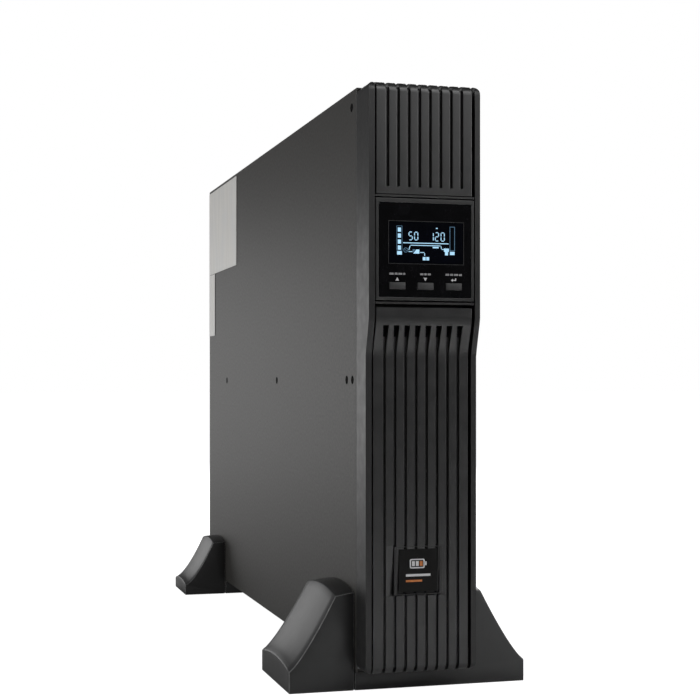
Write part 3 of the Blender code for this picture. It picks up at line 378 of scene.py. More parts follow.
LOOKS = {
    "bezel_plastic": moulded("bezel_plastic", CHARCOAL, 0.33, scuff_and_highlight=0.15, gloss=1.0),
    "cover_paint": powder_coat("cover_paint", (0.036, 0.0343, 0.0315), 0.46),
    "zinc_steel": zinc_sheet("zinc_steel"),
    "display_glass": cover_glass("display_glass"),
    "lcd": lcd_glass("lcd"),
    "button_plastic": moulded("button_plastic", (0.045, 0.045, 0.046), 0.45, 1800.0),
    "badge_plate": moulded("badge_plate", (0.009, 0.009, 0.0088), 0.4, 2200.0, 0.02 * MM, gloss=0.15),
    "blank_label": brushed_film("blank_label", (0.86, 0.845, 0.81), (0.72, 0.74, 0.77)),
    # The stands' edges are painted bright: a painted highlight for the thin glints along their crisp edges,
    # over light scuffing.
    "stand_plastic": moulded("stand_plastic", (0.019, 0.019, 0.0195), 0.36, drift=0.02, scuff_and_highlight=1.0, gloss=0.9,
                             spread=0.01, scuff_and_highlight_tone=0.5),
    "battery_case": moulded("battery_case", (0.022, 0.024, 0.028), 0.5, scuff_and_highlight=0.3),
    "strap_webbing": woven("strap_webbing", (0.035, 0.035, 0.037)),
    "circuit_board": board_mask("circuit_board"),
    "heat_sink": moulded("heat_sink", (0.58, 0.59, 0.60), 0.34, 320.0, metallic=0.9, stretch=(1, 0.03, 1)),
    "transformer_core": moulded("transformer_core", (0.08, 0.08, 0.085), 0.5, 1500.0, metallic=0.6,
                                stretch=(1, 0.02, 0.02)),
    "copper_winding": moulded("copper_winding", (0.50, 0.20, 0.07), 0.35, 900.0, metallic=0.7,
                              stretch=(0.05, 0.05, 1)),
    "capacitor_sleeve": moulded("capacitor_sleeve", (0.012, 0.018, 0.06), 0.3, 800.0),
    "relay_case": moulded("relay_case", (0.02, 0.02, 0.022), 0.4),
    "socket_plastic": moulded("socket_plastic", (0.016, 0.016, 0.0165), 0.4, scuff_and_highlight=0.2),
    "plated_pin": moulded("plated_pin", (0.72, 0.68, 0.58), 0.26, 900.0, metallic=1.0),
    "fan_plastic": moulded("fan_plastic", (0.014, 0.014, 0.015), 0.38),
    "terminal_green": moulded("terminal_green", (0.02, 0.22, 0.08), 0.45),
}
GASKET = moulded("window_gasket", (0.022, 0.022, 0.023), 0.35)
STEEL = moulded("screw_steel", (0.46, 0.46, 0.47), 0.3, 1200.0, metallic=1.0)
RAIL = moulded("rail_plastic", (0.012, 0.012, 0.0123), 0.38, gloss=0.7)
SLEEVE = moulded("pack_sleeve", (0.035, 0.06, 0.10), 0.40, 900.0, 0.005 * MM, spread=0.02)
# Flat black standing in for shade: painted shade in the vents' openings, in the badge's recess gap and round
# the cover's screw holes.
SHADE_BLACK = moulded("painted_shade_black", (0.004, 0.004, 0.004), 0.9, 700.0, 0.3 * MM, gloss=0.1)
BLACK_STEEL = moulded("black_screw", (0.035, 0.035, 0.036), 0.33, 1200.0, metallic=0.8)
FIGURES = lit("lcd_figures", (0.42, 0.72, 0.95), 1.0)
FAINT_FIGURES = lit("lcd_faint_figures", (0.10, 0.22, 0.34), 0.6)
INK = printed("white_ink", (0.72, 0.72, 0.73))
GREY_INK = printed("grey_ink", (0.36, 0.36, 0.37))
ORANGE_INK = printed("orange_ink", (0.62, 0.20, 0.05))
GREEN_LAMP = lit("green_lamp", (0.10, 0.75, 0.20), 0.6)
AMBER_LAMP = lit("amber_lamp", (0.85, 0.45, 0.05), 0.3)


# Building blocks: an outline is drawn as seen from one side of the unit, then given thickness outwards

# Each side's rightward, upward and outward directions
SIDES = {
    "front": (Vector((1, 0, 0)), Vector((0, 0, 1)), Vector((0, -1, 0))),
    "left": (Vector((0, -1, 0)), Vector((0, 0, 1)), Vector((-1, 0, 0))),
    "right": (Vector((0, 1, 0)), Vector((0, 0, 1)), Vector((1, 0, 0))),
    "rear": (Vector((-1, 0, 0)), Vector((0, 0, 1)), Vector((0, 1, 0))),
}


def raised(bm, side, origin, outline, height, taper=0.0):
    """Adds a closed slab: an outline round an origin, with each outer corner drawn in by the taper."""
    right, up, out = SIDES[side]
    middle = sum((Vector(point) for point in outline), Vector((0, 0))) / len(outline)
    foot = []
    head = []
    for point in outline:
        u, v = point
        foot.append(bm.verts.new(Vector(origin) + right * u + up * v))
        lean = (middle - Vector(point)).normalized() * taper if taper else Vector((0, 0))
        head.append(bm.verts.new(Vector(origin) + right * (u + lean.x) + up * (v + lean.y) + out * height))
    bm.faces.new(reversed(foot))
    bm.faces.new(head)
    for i, corner in enumerate(foot):
        j = (i + 1) % len(foot)
        bm.faces.new((corner, foot[j], head[j], head[i]))


def framed(bm, side, origin, outer, inner, height):
    """Adds a closed frame between two outlines that have the same number of points."""
    right, up, out = SIDES[side]
    rings = []
    for outline, lift in ((outer, 0), (outer, height), (inner, height), (inner, 0)):
        rings.append([bm.verts.new(Vector(origin) + right * u + up * v + out * lift) for u, v in outline])
    for ring, following in zip(rings, rings[1:] + rings[:1]):
        for i, corner in enumerate(ring):
            j = (i + 1) % len(ring)
            bm.faces.new((corner, ring[j], following[j], following[i]))


def turned(bm, side, origin, profile, segments=32):
    """Adds a closed turned body. Its profile of (radius, height) pairs starts and ends on the axis."""
    right, up, out = SIDES[side]
    rows = []
    for radius, height in profile:
        if radius == 0:
            rows.append([bm.verts.new(Vector(origin) + out * height)])
            continue
        row = []
        for step in range(segments):
            angle = math.tau * step / segments
            spoke = right * math.cos(angle) + up * math.sin(angle)
            row.append(bm.verts.new(Vector(origin) + spoke * radius + out * height))
        rows.append(row)
    for low, high in zip(rows, rows[1:]):
        for i in range(segments):
            j = (i + 1) % segments
            corners = [low[i % len(low)], low[j % len(low)], high[j % len(high)], high[i % len(high)]]
            bm.faces.new(dict.fromkeys(corners))


def bar(low_u, low_v, high_u, high_v):
    """A rectangle's outline."""
    return [(low_u, low_v), (high_u, low_v), (high_u, high_v), (low_u, high_v)]


def inset(bounds, by):
    """A rectangle's bounds moved inwards."""
    return bounds[0] + by, bounds[1] + by, bounds[2] - by, bounds[3] - by


def polygon(radius, corners, start=0.0, centre=(0, 0)):
    """A regular polygon's outline, with its first corner at the start angle."""
    angles = [start + math.tau * i / corners for i in range(corners)]
    return [(centre[0] + radius * math.cos(a), centre[1] + radius * math.sin(a)) for a in angles]


def rounded(low_u, low_v, high_u, high_v, radius, steps=5):
    """A rectangle's outline with rounded corners, anticlockwise from its lower right corner."""
    outline = []
    centres = (
        (high_u - radius, low_v + radius, -math.pi / 2),
        (high_u - radius, high_v - radius, 0),
        (low_u + radius, high_v - radius, math.pi / 2),
        (low_u + radius, low_v + radius, math.pi),
    )
    for u, v, start in centres:
        for step in range(steps + 1):
            angle = start + math.pi / 2 * step / steps
            outline.append((u + radius * math.cos(angle), v + radius * math.sin(angle)))
    return outline


def stroke(start, end, width):
    """A straight stroke's outline between two points, with square ends."""
    first = Vector(start)
    last = Vector(end)
    across = (last - first).normalized().orthogonal() * width / 2
    return [tuple(first - across), tuple(last - across), tuple(last + across), tuple(first + across)]


def piece(name, bm, look, body, bevel=0.0):
    """Makes an object of the mesh, rides it on its body, and breaks its sharp edges."""
    bmesh.ops.recalc_face_normals(bm, faces=bm.faces)
    mesh = bpy.data.meshes.new(name)
    bm.to_mesh(mesh)
    bm.free()
    mesh.materials.append(look)
    made = bpy.data.objects.new(name, mesh)
    bpy.context.scene.collection.objects.link(made)
    soften(made, bevel)
    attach(made, body)
    return made


def soften(made, bevel):
    """Smooth shading, with real rounded edges where a width is given and crisp ones elsewhere."""
    made.data.shade_smooth()
    if bevel:
        rounding = made.modifiers.new("rounding", "BEVEL")
        rounding.width = bevel
        rounding.segments = 2
        rounding.limit_method = "ANGLE"
        rounding.angle_limit = math.radians(30)
        flats = made.modifiers.new("flats", "WEIGHTED_NORMAL")
        flats.weight = 100
        return
    crease = made.modifiers.new("crease", "EDGE_SPLIT")
    crease.split_angle = math.radians(32)


# Ribbed front panels: a row of columns across the unit, carried along the front's profile

RAIL_LOW, RAIL_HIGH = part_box("bezel_rail_left")
FRONT_Y = RAIL_LOW.y
SETBACK_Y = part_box("badge_plate")[0].y
GROOVES = 8
GROOVE_PITCH = 8.17 * MM
GROOVE_SHIFT = -0.2 * MM
GROOVE_WIDTH = 2.1 * MM
GROOVE_DEPTH = 3 * MM
VENT_DEPTH = 4.9 * MM
RIB_EDGE = 0.55 * MM
PANEL_DEPTH = 5.4 * MM
TOE_RADIUS = 6 * MM
HEAD_RADIUS = 7 * MM
SLOPE_RADIUS = 24 * MM
SLOPE_FOOT = RAIL_LOW.z + 236.4 * MM
SLOPE_HEAD = RAIL_LOW.z + 259 * MM
UPPER_GROOVE_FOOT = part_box("upper_panel")[0].z + 5.4 * MM

# The vents are the grooves' mouths on the slope, with their upper part painted black as shade for the dark
# openings. Their left and right sides flare by these shares of a groove's width.
VENT_HEAD = SLOPE_HEAD - 3 * MM
VENT_FLARE = (0.85, 0.1)
VENT_STEPS = 6
# The height from which the vents are painted black as shade
SHADE_FOOT = SLOPE_FOOT + 0.45 * (VENT_HEAD - SLOPE_FOOT)

# The pad round the badge: its sides, and how far it reaches above and below the badge
PAD_X = (-21.8 * MM, 16.8 * MM)
PAD_MARGIN = 2.6 * MM

# The lean of a groove's walls and ends, the place of a rounded edge's middle column, and the pieces of an arc
STEP = 0.12 * MM
EDGE_SHARE = 0.3
ARC_STEPS = 8


def filleted(corners):
    """A path through (y, z, radius) corners, each turned by an arc of its radius."""
    path = []
    for i, (y, z, radius) in enumerate(corners):
        here = Vector((y, z))
        if not radius:
            path.append(here)
            continue
        back = (Vector(corners[i - 1][:2]) - here).normalized()
        ahead = (Vector(corners[i + 1][:2]) - here).normalized()
        half = back.angle(ahead) / 2
        centre = here + (back + ahead).normalized() * radius / math.sin(half)
        first = here + back * radius / math.tan(half) - centre
        last = here + ahead * radius / math.tan(half) - centre
        turn = first.angle_signed(last)
        for step in range(ARC_STEPS + 1):
            path.append(centre + Matrix.Rotation(-turn * step / ARC_STEPS, 2) @ first)
    return path


def with_heights(path, heights):
    """The path with a point added at each of these heights, where it passes them."""
    made = [path[0]]
    for start, end in zip(path, path[1:]):
        inside = sorted(h for h in heights if start.y + STEP / 4 < h < end.y - STEP / 4)
        for h in inside:
            made.append(start.lerp(end, (h - start.y) / (end.y - start.y)))
        made.append(end)
    return made


def outward(path, i):
    """The path's outward normal at a point: forwards where it climbs."""
    before = path[max(i - 1, 0)]
    after = path[min(i + 1, len(path) - 1)]
    along = (after - before).normalized()
    return Vector((-along.y, along.x))


def groove_row(z, foot, head, vent_foot=None):
    """Each groove's left and right edges and its depth at a height, with flared mouths above vent_foot."""
    rows = []
    for i in range(GROOVES):
        centre = (i - (GROOVES - 1) / 2) * GROOVE_PITCH + GROOVE_SHIFT
        left = centre - GROOVE_WIDTH / 2
        right = centre + GROOVE_WIDTH / 2
        depth = GROOVE_DEPTH if foot <= z <= head else 0
        if vent_foot and z > vent_foot:
            share = min((z - vent_foot) / (head - vent_foot), 1)
            left -= VENT_FLARE[0] * GROOVE_WIDTH * share
            right += VENT_FLARE[1] * GROOVE_WIDTH * share
            depth = depth and GROOVE_DEPTH + (VENT_DEPTH - GROOVE_DEPTH) * min(2 * share, 1)
        rows.append((left, right, depth))
    return rows


def lip(x, way, drop):
    """The (x, depth) columns of a rounded edge, from its brink at x to the flat that lies the given way."""
    return [(x, drop), (x + way * EDGE_SHARE * RIB_EDGE, EDGE_SHARE * drop), (x + way * RIB_EDGE, 0)]


def column_row(xs, grooves):
    """(x, depth) across the panel: rounded outer edges, and a rounded lip on each side of each groove."""
    row = lip(xs[0], 1, RIB_EDGE)
    for left, right, depth in grooves:
        drop = min(RIB_EDGE, depth)
        row += lip(left, -1, drop)[::-1]
        row += [(left + STEP, depth), (right - STEP, depth)]
        row += lip(right, 1, drop)
    row += lip(xs[1], -1, RIB_EDGE)[::-1]
    return row


def sink_pad(row, floor):
    """Sinks the columns of the pad's span to a flat floor."""
    start = PAD_X[0] - RIB_EDGE
    end = PAD_X[1] - PAD_MARGIN
    return [(x, floor if start < x < end else depth) for x, depth in row]


def is_dark(row, following, j, height, shade_from):
    """Whether a facet is painted black as shade: in the vents' upper part, and on the floor of the badge's
    recess gap.
    """
    depth = min(row[j][1], row[j + 1][1], following[j][1], following[j + 1][1])
    if depth > GROOVE_DEPTH:
        return height >= shade_from
    sunk = all(own == GROOVE_DEPTH for x, own in row if PAD_X[0] < x < PAD_X[1] - PAD_MARGIN)
    return sunk and depth == GROOVE_DEPTH and PAD_X[0] < row[j][0] < PAD_X[1]


def ribbed(name, node, body, path, rows, shade_from=None):
    """The closed panel: its front from the rows of columns, its back a plain offset of the path.

    Where its last argument is given, the dark facets are painted black as shade: in the vents from that
    height up, and on the floor of the badge's recess gap.
    """
    bm = bmesh.new()
    front = []
    back = []
    for i, (point, row) in enumerate(zip(path, rows)):
        normal = outward(path, i)
        front.append([])
        for x, depth in row:
            at = point - normal * depth
            front[-1].append(bm.verts.new((x, at.x, at.y)))
        at = point - normal * PANEL_DEPTH
        back.append([bm.verts.new((x, at.x, at.y)) for x in (row[0][0], row[-1][0])])
    for i in range(len(path) - 1):
        low, high = front[i], front[i + 1]
        for j in range(len(low) - 1):
            face = bm.faces.new((low[j], low[j + 1], high[j + 1], high[j]))
            if shade_from and is_dark(rows[i], rows[i + 1], j, path[i].y, shade_from):
                face.material_index = 1
        bm.faces.new((low[0], high[0], back[i + 1][0], back[i][0]))
        bm.faces.new((low[-1], back[i][1], back[i + 1][1], high[-1]))
        bm.faces.new((back[i][0], back[i + 1][0], back[i + 1][1], back[i][1]))
    for i in (0, -1):
        bm.faces.new([*front[i], back[i][1], back[i][0]])
    panel = piece(name, bm, LOOKS["bezel_plastic"], body)
    # The second slot: flat black as painted shade in the vents and the badge's recess gap
    panel.data.materials.append(SHADE_BLACK)
    flats = panel.modifiers.new("flats", "WEIGHTED_NORMAL")
    flats.weight = 100
    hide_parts(node)


def upper_panel():
    """The panel over the display, whose grooves run back over the top."""
    low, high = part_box("upper_panel")
    foot = UPPER_GROOVE_FOOT
    corners = [(FRONT_Y, low.z, 0), (FRONT_Y, high.z, HEAD_RADIUS), (high.y, high.z, 0)]
    path = with_heights(filleted(corners), [low.z + 0.4 * MM, foot - STEP, foot])
    rows = [column_row((low.x, high.x), groove_row(point.y, foot, math.inf)) for point in path]
    ribbed("ribbed_upper_panel", "upper_panel", "root", path, rows)


def door_panel():
    """The battery door: a sloping shoulder with vents, and grooves that stop at the badge's recess."""
    low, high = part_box("battery_door")
    badge_low, badge_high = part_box("badge_plate")
    pad = (badge_low.z - PAD_MARGIN, badge_high.z + PAD_MARGIN)
    corners = [
        (high.y, low.z, 0), (SETBACK_Y, low.z, TOE_RADIUS), (SETBACK_Y, SLOPE_FOOT, SLOPE_RADIUS),
        (FRONT_Y, SLOPE_HEAD, SLOPE_RADIUS), (FRONT_Y, high.z, 0),
    ]
    heights = [pad[0] - STEP, pad[0], pad[1], pad[1] + STEP, VENT_HEAD, VENT_HEAD + STEP]
    heights += [SLOPE_FOOT + (VENT_HEAD - SLOPE_FOOT) * step / VENT_STEPS for step in range(VENT_STEPS)]
    path = with_heights(filleted(corners), heights)
    rows = []
    for point in path:
        row = column_row((low.x, high.x), groove_row(point.y, 0, VENT_HEAD, SLOPE_FOOT))
        rows.append(sink_pad(row, GROOVE_DEPTH) if pad[0] <= point.y <= pad[1] else row)
    ribbed("ribbed_door", "battery_door", "door", path, rows, SHADE_FOOT)


def badge_surround():
    """The raised pad round the badge, in a gap painted dark as shade on the door panel, which the grooves run
    into.
    """
    low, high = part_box("badge_plate")
    bm = bmesh.new()
    gap = 1.3 * MM
    reach = PAD_MARGIN - 0.6 * MM
    outer = bar(PAD_X[0] + 0.5 * MM, low.z - reach, PAD_X[1] - 0.5 * MM, high.z + reach)
    inner = bar(*inset((low.x, low.z, high.x, high.z), -gap))
    framed(bm, "front", (0, SETBACK_Y + GROOVE_DEPTH, 0), outer, inner, GROOVE_DEPTH + 0.2 * MM)
    piece("badge_surround", bm, RAIL, "door", bevel=0.35 * MM)


# Display: figures, keys' icons and the frame of its window

LCD_LOW, LCD_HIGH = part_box("lcd_panel")
GLASS_LOW, GLASS_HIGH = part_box("display_glass")
FIGURE_HEIGHT = 0.08 * MM
INK_HEIGHT = 0.06 * MM
STROKE = 0.5 * MM
THICK_STROKE = 0.62 * MM

# A figure's seven strokes, each from end to end in half heights of the figure
SEGMENTS = {
    "top": ((0, 2), (1, 2)), "middle": ((0, 1), (1, 1)), "bottom": ((0, 0), (1, 0)),
    "upper_left": ((0, 1), (0, 2)), "upper_right": ((1, 1), (1, 2)),
    "lower_left": ((0, 0), (0, 1)), "lower_right": ((1, 0), (1, 1)),
}
DIGITS = {
    "0": ("top", "bottom", "upper_left", "upper_right", "lower_left", "lower_right"),
    "1": ("upper_right", "lower_right"),
    "2": ("top", "middle", "bottom", "upper_right", "lower_left"),
    "5": ("top", "middle", "bottom", "upper_left", "lower_right"),
}


class Screen:
    """Draws on the lit display in shares of its width and height, from its top left corner."""

    def __init__(self):
        self.bm = bmesh.new()
        self.origin = Vector((LCD_LOW.x, LCD_LOW.y, LCD_HIGH.z))
        self.size = (LCD_HIGH.x - LCD_LOW.x, LCD_LOW.z - LCD_HIGH.z)

    def at(self, u, v):
        return u * self.size[0], v * self.size[1]

    def fill(self, outline):
        raised(self.bm, "front", self.origin, [self.at(u, v) for u, v in outline], FIGURE_HEIGHT)

    def line(self, *points, width=STROKE):
        """A run of strokes that stop just short of each other at the corners."""
        for start, end in zip(points, points[1:]):
            first = Vector(self.at(*start))
            last = Vector(self.at(*end))
            gap = (last - first).normalized() * width * 0.6
            raised(self.bm, "front", self.origin, stroke(first + gap, last - gap, width), FIGURE_HEIGHT)

    def digit(self, figure, left, top, width, height):
        for name in DIGITS[figure]:
            ends = [(left + u * width, top + (1 - v / 2) * height) for u, v in SEGMENTS[name]]
            self.line(*ends, width=THICK_STROKE)

    def frame(self, left, top, right, bottom, width):
        bounds = (*self.at(left, bottom), *self.at(right, top))
        framed(self.bm, "front", self.origin, bar(*bounds), bar(*inset(bounds, width)), FIGURE_HEIGHT)


def lcd_figures():
    """A load gauge, a charge gauge, two readings and a flow diagram from mains through battery to load."""
    screen = Screen()
    for step in range(4):
        top = 0.145 + 0.145 * step
        screen.fill(bar(0.115, top + 0.1, 0.158, top))
    screen.fill(bar(0.105, 0.80, 0.170, 0.715))
    screen.fill(bar(0.822, 0.78, 0.885, 0.70))
    screen.digit("5", 0.265, 0.245, 0.045, 0.19)
    screen.digit("0", 0.340, 0.245, 0.045, 0.19)
    screen.digit("1", 0.555, 0.245, 0.040, 0.20)
    screen.digit("2", 0.622, 0.245, 0.045, 0.20)
    screen.digit("0", 0.700, 0.245, 0.045, 0.20)
    screen.fill(polygon(0.013, 16, centre=(0.642, 0.14)))
    screen.line((0.18, 0.51), (0.81, 0.51), width=THICK_STROKE)
    screen.line((0.262, 0.69), (0.283, 0.565), (0.70, 0.565), (0.706, 0.65), (0.745, 0.65))
    screen.fill(bar(0.587, 0.625, 0.667, 0.59))
    screen.line((0.255, 0.72), (0.315, 0.72))
    screen.fill([(0.322, 0.765), (0.405, 0.765), (0.405, 0.665), (0.365, 0.665)])
    screen.line((0.41, 0.735), (0.476, 0.735), (0.478, 0.825))
    screen.fill(bar(0.452, 0.925, 0.490, 0.845))
    screen.fill(bar(0.500, 0.925, 0.538, 0.845))
    screen.fill([
        (0.755, 0.79), (0.795, 0.79), (0.795, 0.715), (0.808, 0.70),
        (0.808, 0.625), (0.740, 0.625), (0.740, 0.70), (0.755, 0.715),
    ])
    piece("lcd_figures", screen.bm, FIGURES, "display")


def lcd_outlines():
    """The dimmer outlines: both gauges' cases, the mains symbol and the inverter's box."""
    screen = Screen()
    screen.frame(0.098, 0.10, 0.175, 0.70, 0.3 * MM)
    screen.frame(0.818, 0.09, 0.889, 0.68, 0.42 * MM)
    centre = screen.at(0.222, 0.685)
    outer = polygon(1.8 * MM, 20, centre=centre)
    inner = polygon(1.35 * MM, 20, centre=centre)
    framed(screen.bm, "front", screen.origin, outer, inner, FIGURE_HEIGHT)
    screen.line((0.205, 0.665), (0.240, 0.705), width=0.4 * MM)
    screen.fill([(0.315, 0.665), (0.352, 0.665), (0.315, 0.75)])
    piece("lcd_outlines", screen.bm, FAINT_FIGURES, "display")


def window_frame():
    """A thin gasket round the display's window."""
    bm = bmesh.new()
    slack = 0.3 * MM
    window = (0, 0, LCD_HIGH.x - LCD_LOW.x + 2 * slack, LCD_HIGH.z - LCD_LOW.z + 2 * slack)
    origin = (LCD_LOW.x - slack, GLASS_LOW.y, LCD_LOW.z - slack)
    framed(bm, "front", origin, bar(*inset(window, -0.45 * MM)), bar(*window), INK_HEIGHT)
    piece("window_gasket", bm, GASKET, "display")


def arrow(bm, origin, way):
    """A solid triangle pointing up, or down where way is -1."""
    size = 1.45 * MM
    rise = 1.25 * MM * way
    outline = [(-size, -rise), (size, -rise), (0, rise)]
    raised(bm, "front", origin, outline if way > 0 else outline[::-1], INK_HEIGHT)


def enter_mark(bm, origin):
    """A bent arrow: down from the right, then left to its point."""
    thick = 0.8 * MM
    riser = bar(1.2 * MM, -0.6 * MM, 1.2 * MM + thick, 1.3 * MM)
    shaft = bar(-0.5 * MM, -0.6 * MM, 1.15 * MM, -0.6 * MM + thick)
    point = [(-0.55 * MM, -1.4 * MM), (-0.55 * MM, 1.0 * MM), (-2.1 * MM, -0.2 * MM)]
    for outline in (riser, shaft, point):
        raised(bm, "front", origin, outline, INK_HEIGHT)


# The lengths in millimetres of the dashes printed over each key
KEY_DASHES = {
    "button_up": (3.4, 2.2, 3.0, 1.6),
    "button_down": (2.6, 1.8, 2.4),
    "button_enter": (2.8, 2.4, 3.2, 2.2),
}
DASH_GAP = 0.7


def key_icons():
    """White symbols over the three keys, with short printed dashes above them."""
    bm = bmesh.new()
    dashes = bmesh.new()
    for name, spans in KEY_DASHES.items():
        low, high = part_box(name)
        origin = Vector(((low.x + high.x) / 2, GLASS_LOW.y, high.z + 2.4 * MM))
        if name == "button_up":
            arrow(bm, origin, 1)
        elif name == "button_down":
            arrow(bm, origin, -1)
        else:
            enter_mark(bm, origin)
        left = -(sum(spans) + DASH_GAP * (len(spans) - 1)) / 2
        for span in spans:
            dash = bar(left * MM, 3.1 * MM, (left + span) * MM, 4.5 * MM)
            raised(dashes, "front", origin, dash, INK_HEIGHT)
            left += span + DASH_GAP
    piece("key_icons", bm, INK, "display")
    piece("key_dashes", dashes, GREY_INK, "display")


# Badge: a plain battery pictogram over two bars

def badge_mark():
    low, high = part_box("badge_plate")
    centre = Vector(((low.x + high.x) / 2, low.y, (low.z + high.z) / 2))
    height = 0.12 * MM
    bm = bmesh.new()
    body = rounded(-6.5 * MM, 1.5 * MM, 5 * MM, 8.5 * MM, 1.2 * MM)
    hollow = rounded(-5.6 * MM, 2.4 * MM, 4.1 * MM, 7.6 * MM, 0.5 * MM)
    framed(bm, "front", centre, body, hollow, height)
    raised(bm, "front", centre, bar(5.3 * MM, 3.6 * MM, 6.5 * MM, 6.4 * MM), height)
    for step in range(2):
        left = (-4.8 + 3.0 * step) * MM
        raised(bm, "front", centre, bar(left, 3.2 * MM, left + 2.2 * MM, 6.8 * MM), height)
    raised(bm, "front", centre, bar(-9.5 * MM, -4.4 * MM, 9.5 * MM, -2.6 * MM), height)
    piece("badge_pictogram", bm, INK, "door")
    accent = bmesh.new()
    raised(accent, "front", centre, bar(1.2 * MM, 3.2 * MM, 3.4 * MM, 6.8 * MM), height)
    raised(accent, "front", centre, bar(-9.5 * MM, -8.4 * MM, 3.0 * MM, -6.9 * MM), height)
    piece("badge_accent", accent, ORANGE_INK, "door")


# Screws

# A screw head's section in shares of its radius and height, from its foot over its rim to its recess's floor
HEAD_SECTION = ((0, 0), (1, 0), (1, 0.35), (0.86, 0.78), (0.6, 1), (0.42, 0.92), (0.30, 0.35), (0, 0.25))


def screw(bm, side, origin, radius, height):
    """A pan head whose recess is made a cross by four blocks that stand in its corners."""
    turned(bm, side, origin, [(radius * across, height * up) for across, up in HEAD_SECTION], 24)
    for quarter in range(4):
        angle = math.pi / 4 + quarter * math.pi / 2
        spot = (0.36 * radius * math.cos(angle), 0.36 * radius * math.sin(angle))
        raised(bm, side, origin, polygon(radius * 0.13, 4, angle, spot), height * 0.9)


# The cover's screws: millimetres back from the unit's front and up from the cover's foot
COVER_SCREWS = ((44, 219.3), (60, 219.3), (302, 219.3), (548, 219.3), (46, 425))
HOLE_RADIUS = 1.5 * MM


def cover_screws():
    """Screws sunk in the cover's holes, a black ring of painted shade round each hole, and plain screws on
    the other side.
    """
    low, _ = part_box("side_cover")
    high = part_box("chassis_tray")[1]
    bm = bmesh.new()
    shade_rings = bmesh.new()
    for back, up in COVER_SCREWS:
        y, z = FRONT_Y + back * MM, low.z + up * MM
        screw(bm, "left", (low.x + 1.9 * MM, y, z), HOLE_RADIUS * 0.93, 0.9 * MM)
        # A flat black ring of painted shade round each hole
        shade_ring, hole = polygon(3.2 * MM, 24), polygon(HOLE_RADIUS * 1.02, 24)
        framed(shade_rings, "left", (low.x, y, z), shade_ring, hole, 0.15 * MM)
    for back, up in COVER_SCREWS:
        screw(bm, "right", (high.x, FRONT_Y + back * MM, low.z + up * MM), 2.6 * MM, 0.8 * MM)
    piece("cover_screws", bm, BLACK_STEEL, "root")
    piece("cover_screw_shade_rings", shade_rings, SHADE_BLACK, "root")


# Rear: fastenings, contacts and printed marks

# Heights of the rear panel's screws above its foot, and how far the screws keep from its sides and head
REAR_SCREW_HEIGHTS = (8 * MM, 108 * MM, 240 * MM, 300 * MM)
REAR_SCREW_MARGIN = 4 * MM

# The middles of the two network ports, from their block's left side
NETWORK_PORTS = (9 * MM, 25 * MM)

# Turned sections: a contact pin, a hexagonal post, and the film on the fan's hub
PIN_SECTION = ((0, 0), (0.5 * MM, 0), (0.5 * MM, 6.6 * MM), (0.25 * MM, 7 * MM), (0, 7 * MM))
POST_SECTION = ((0, 0), (2.1 * MM, 0), (2.1 * MM, 2.4 * MM), (1.2 * MM, 2.8 * MM), (0, 2.4 * MM))
FILM_SECTION = ((0, 0), (13 * MM, 0), (13 * MM, 0.12 * MM), (12.8 * MM, 0.2 * MM), (0, 0.2 * MM))


def middle(node):
    """The middle of a node's outer face, as seen from the rear."""
    low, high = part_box(node)
    return Vector(((low.x + high.x) / 2, high.y, (low.z + high.z) / 2))


def panel_screws():
    """Screws round the rear panel, and two knurled thumb screws on the slot cover."""
    low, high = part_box("rear_panel")
    heights = [low.z + height for height in REAR_SCREW_HEIGHTS] + [high.z - REAR_SCREW_MARGIN]
    bm = bmesh.new()
    for x in (low.x + REAR_SCREW_MARGIN, high.x - REAR_SCREW_MARGIN):
        for z in heights:
            screw(bm, "rear", (x, high.y, z), 2.3 * MM, 0.9 * MM)
    piece("rear_screws", bm, BLACK_STEEL, "root")
    slot_low, slot_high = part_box("card_slot_cover")
    thumbs = bmesh.new()
    for x in (slot_low.x + 6 * MM, slot_high.x - 6 * MM):
        thumb_screw(thumbs, (x, slot_high.y, (slot_low.z + slot_high.z) / 2))
    piece("thumb_screws", thumbs, STEEL, "root")


def thumb_screw(bm, origin):
    """A stepped head with a knurled rim and a slot between two raised halves."""
    height = 2.8 * MM
    points = 48
    rim = []
    for step in range(points):
        radius = (3.9 if step % 2 else 3.6) * MM
        angle = math.tau * step / points
        rim.append((radius * math.cos(angle), radius * math.sin(angle)))
    raised(bm, "rear", origin, rim, height, 0.2 * MM)
    crown = Vector(origin) + Vector((0, height, 0))
    for way in (1, -1):
        half = [(way * 0.4 * MM, 2.6 * MM), (way * 0.4 * MM, -2.6 * MM)]
        for angle in (-1.2, -0.6, 0, 0.6, 1.2):
            half.append((way * 2.7 * MM * math.cos(angle), 2.7 * MM * math.sin(angle)))
        raised(bm, "rear", crown, half, 0.6 * MM)


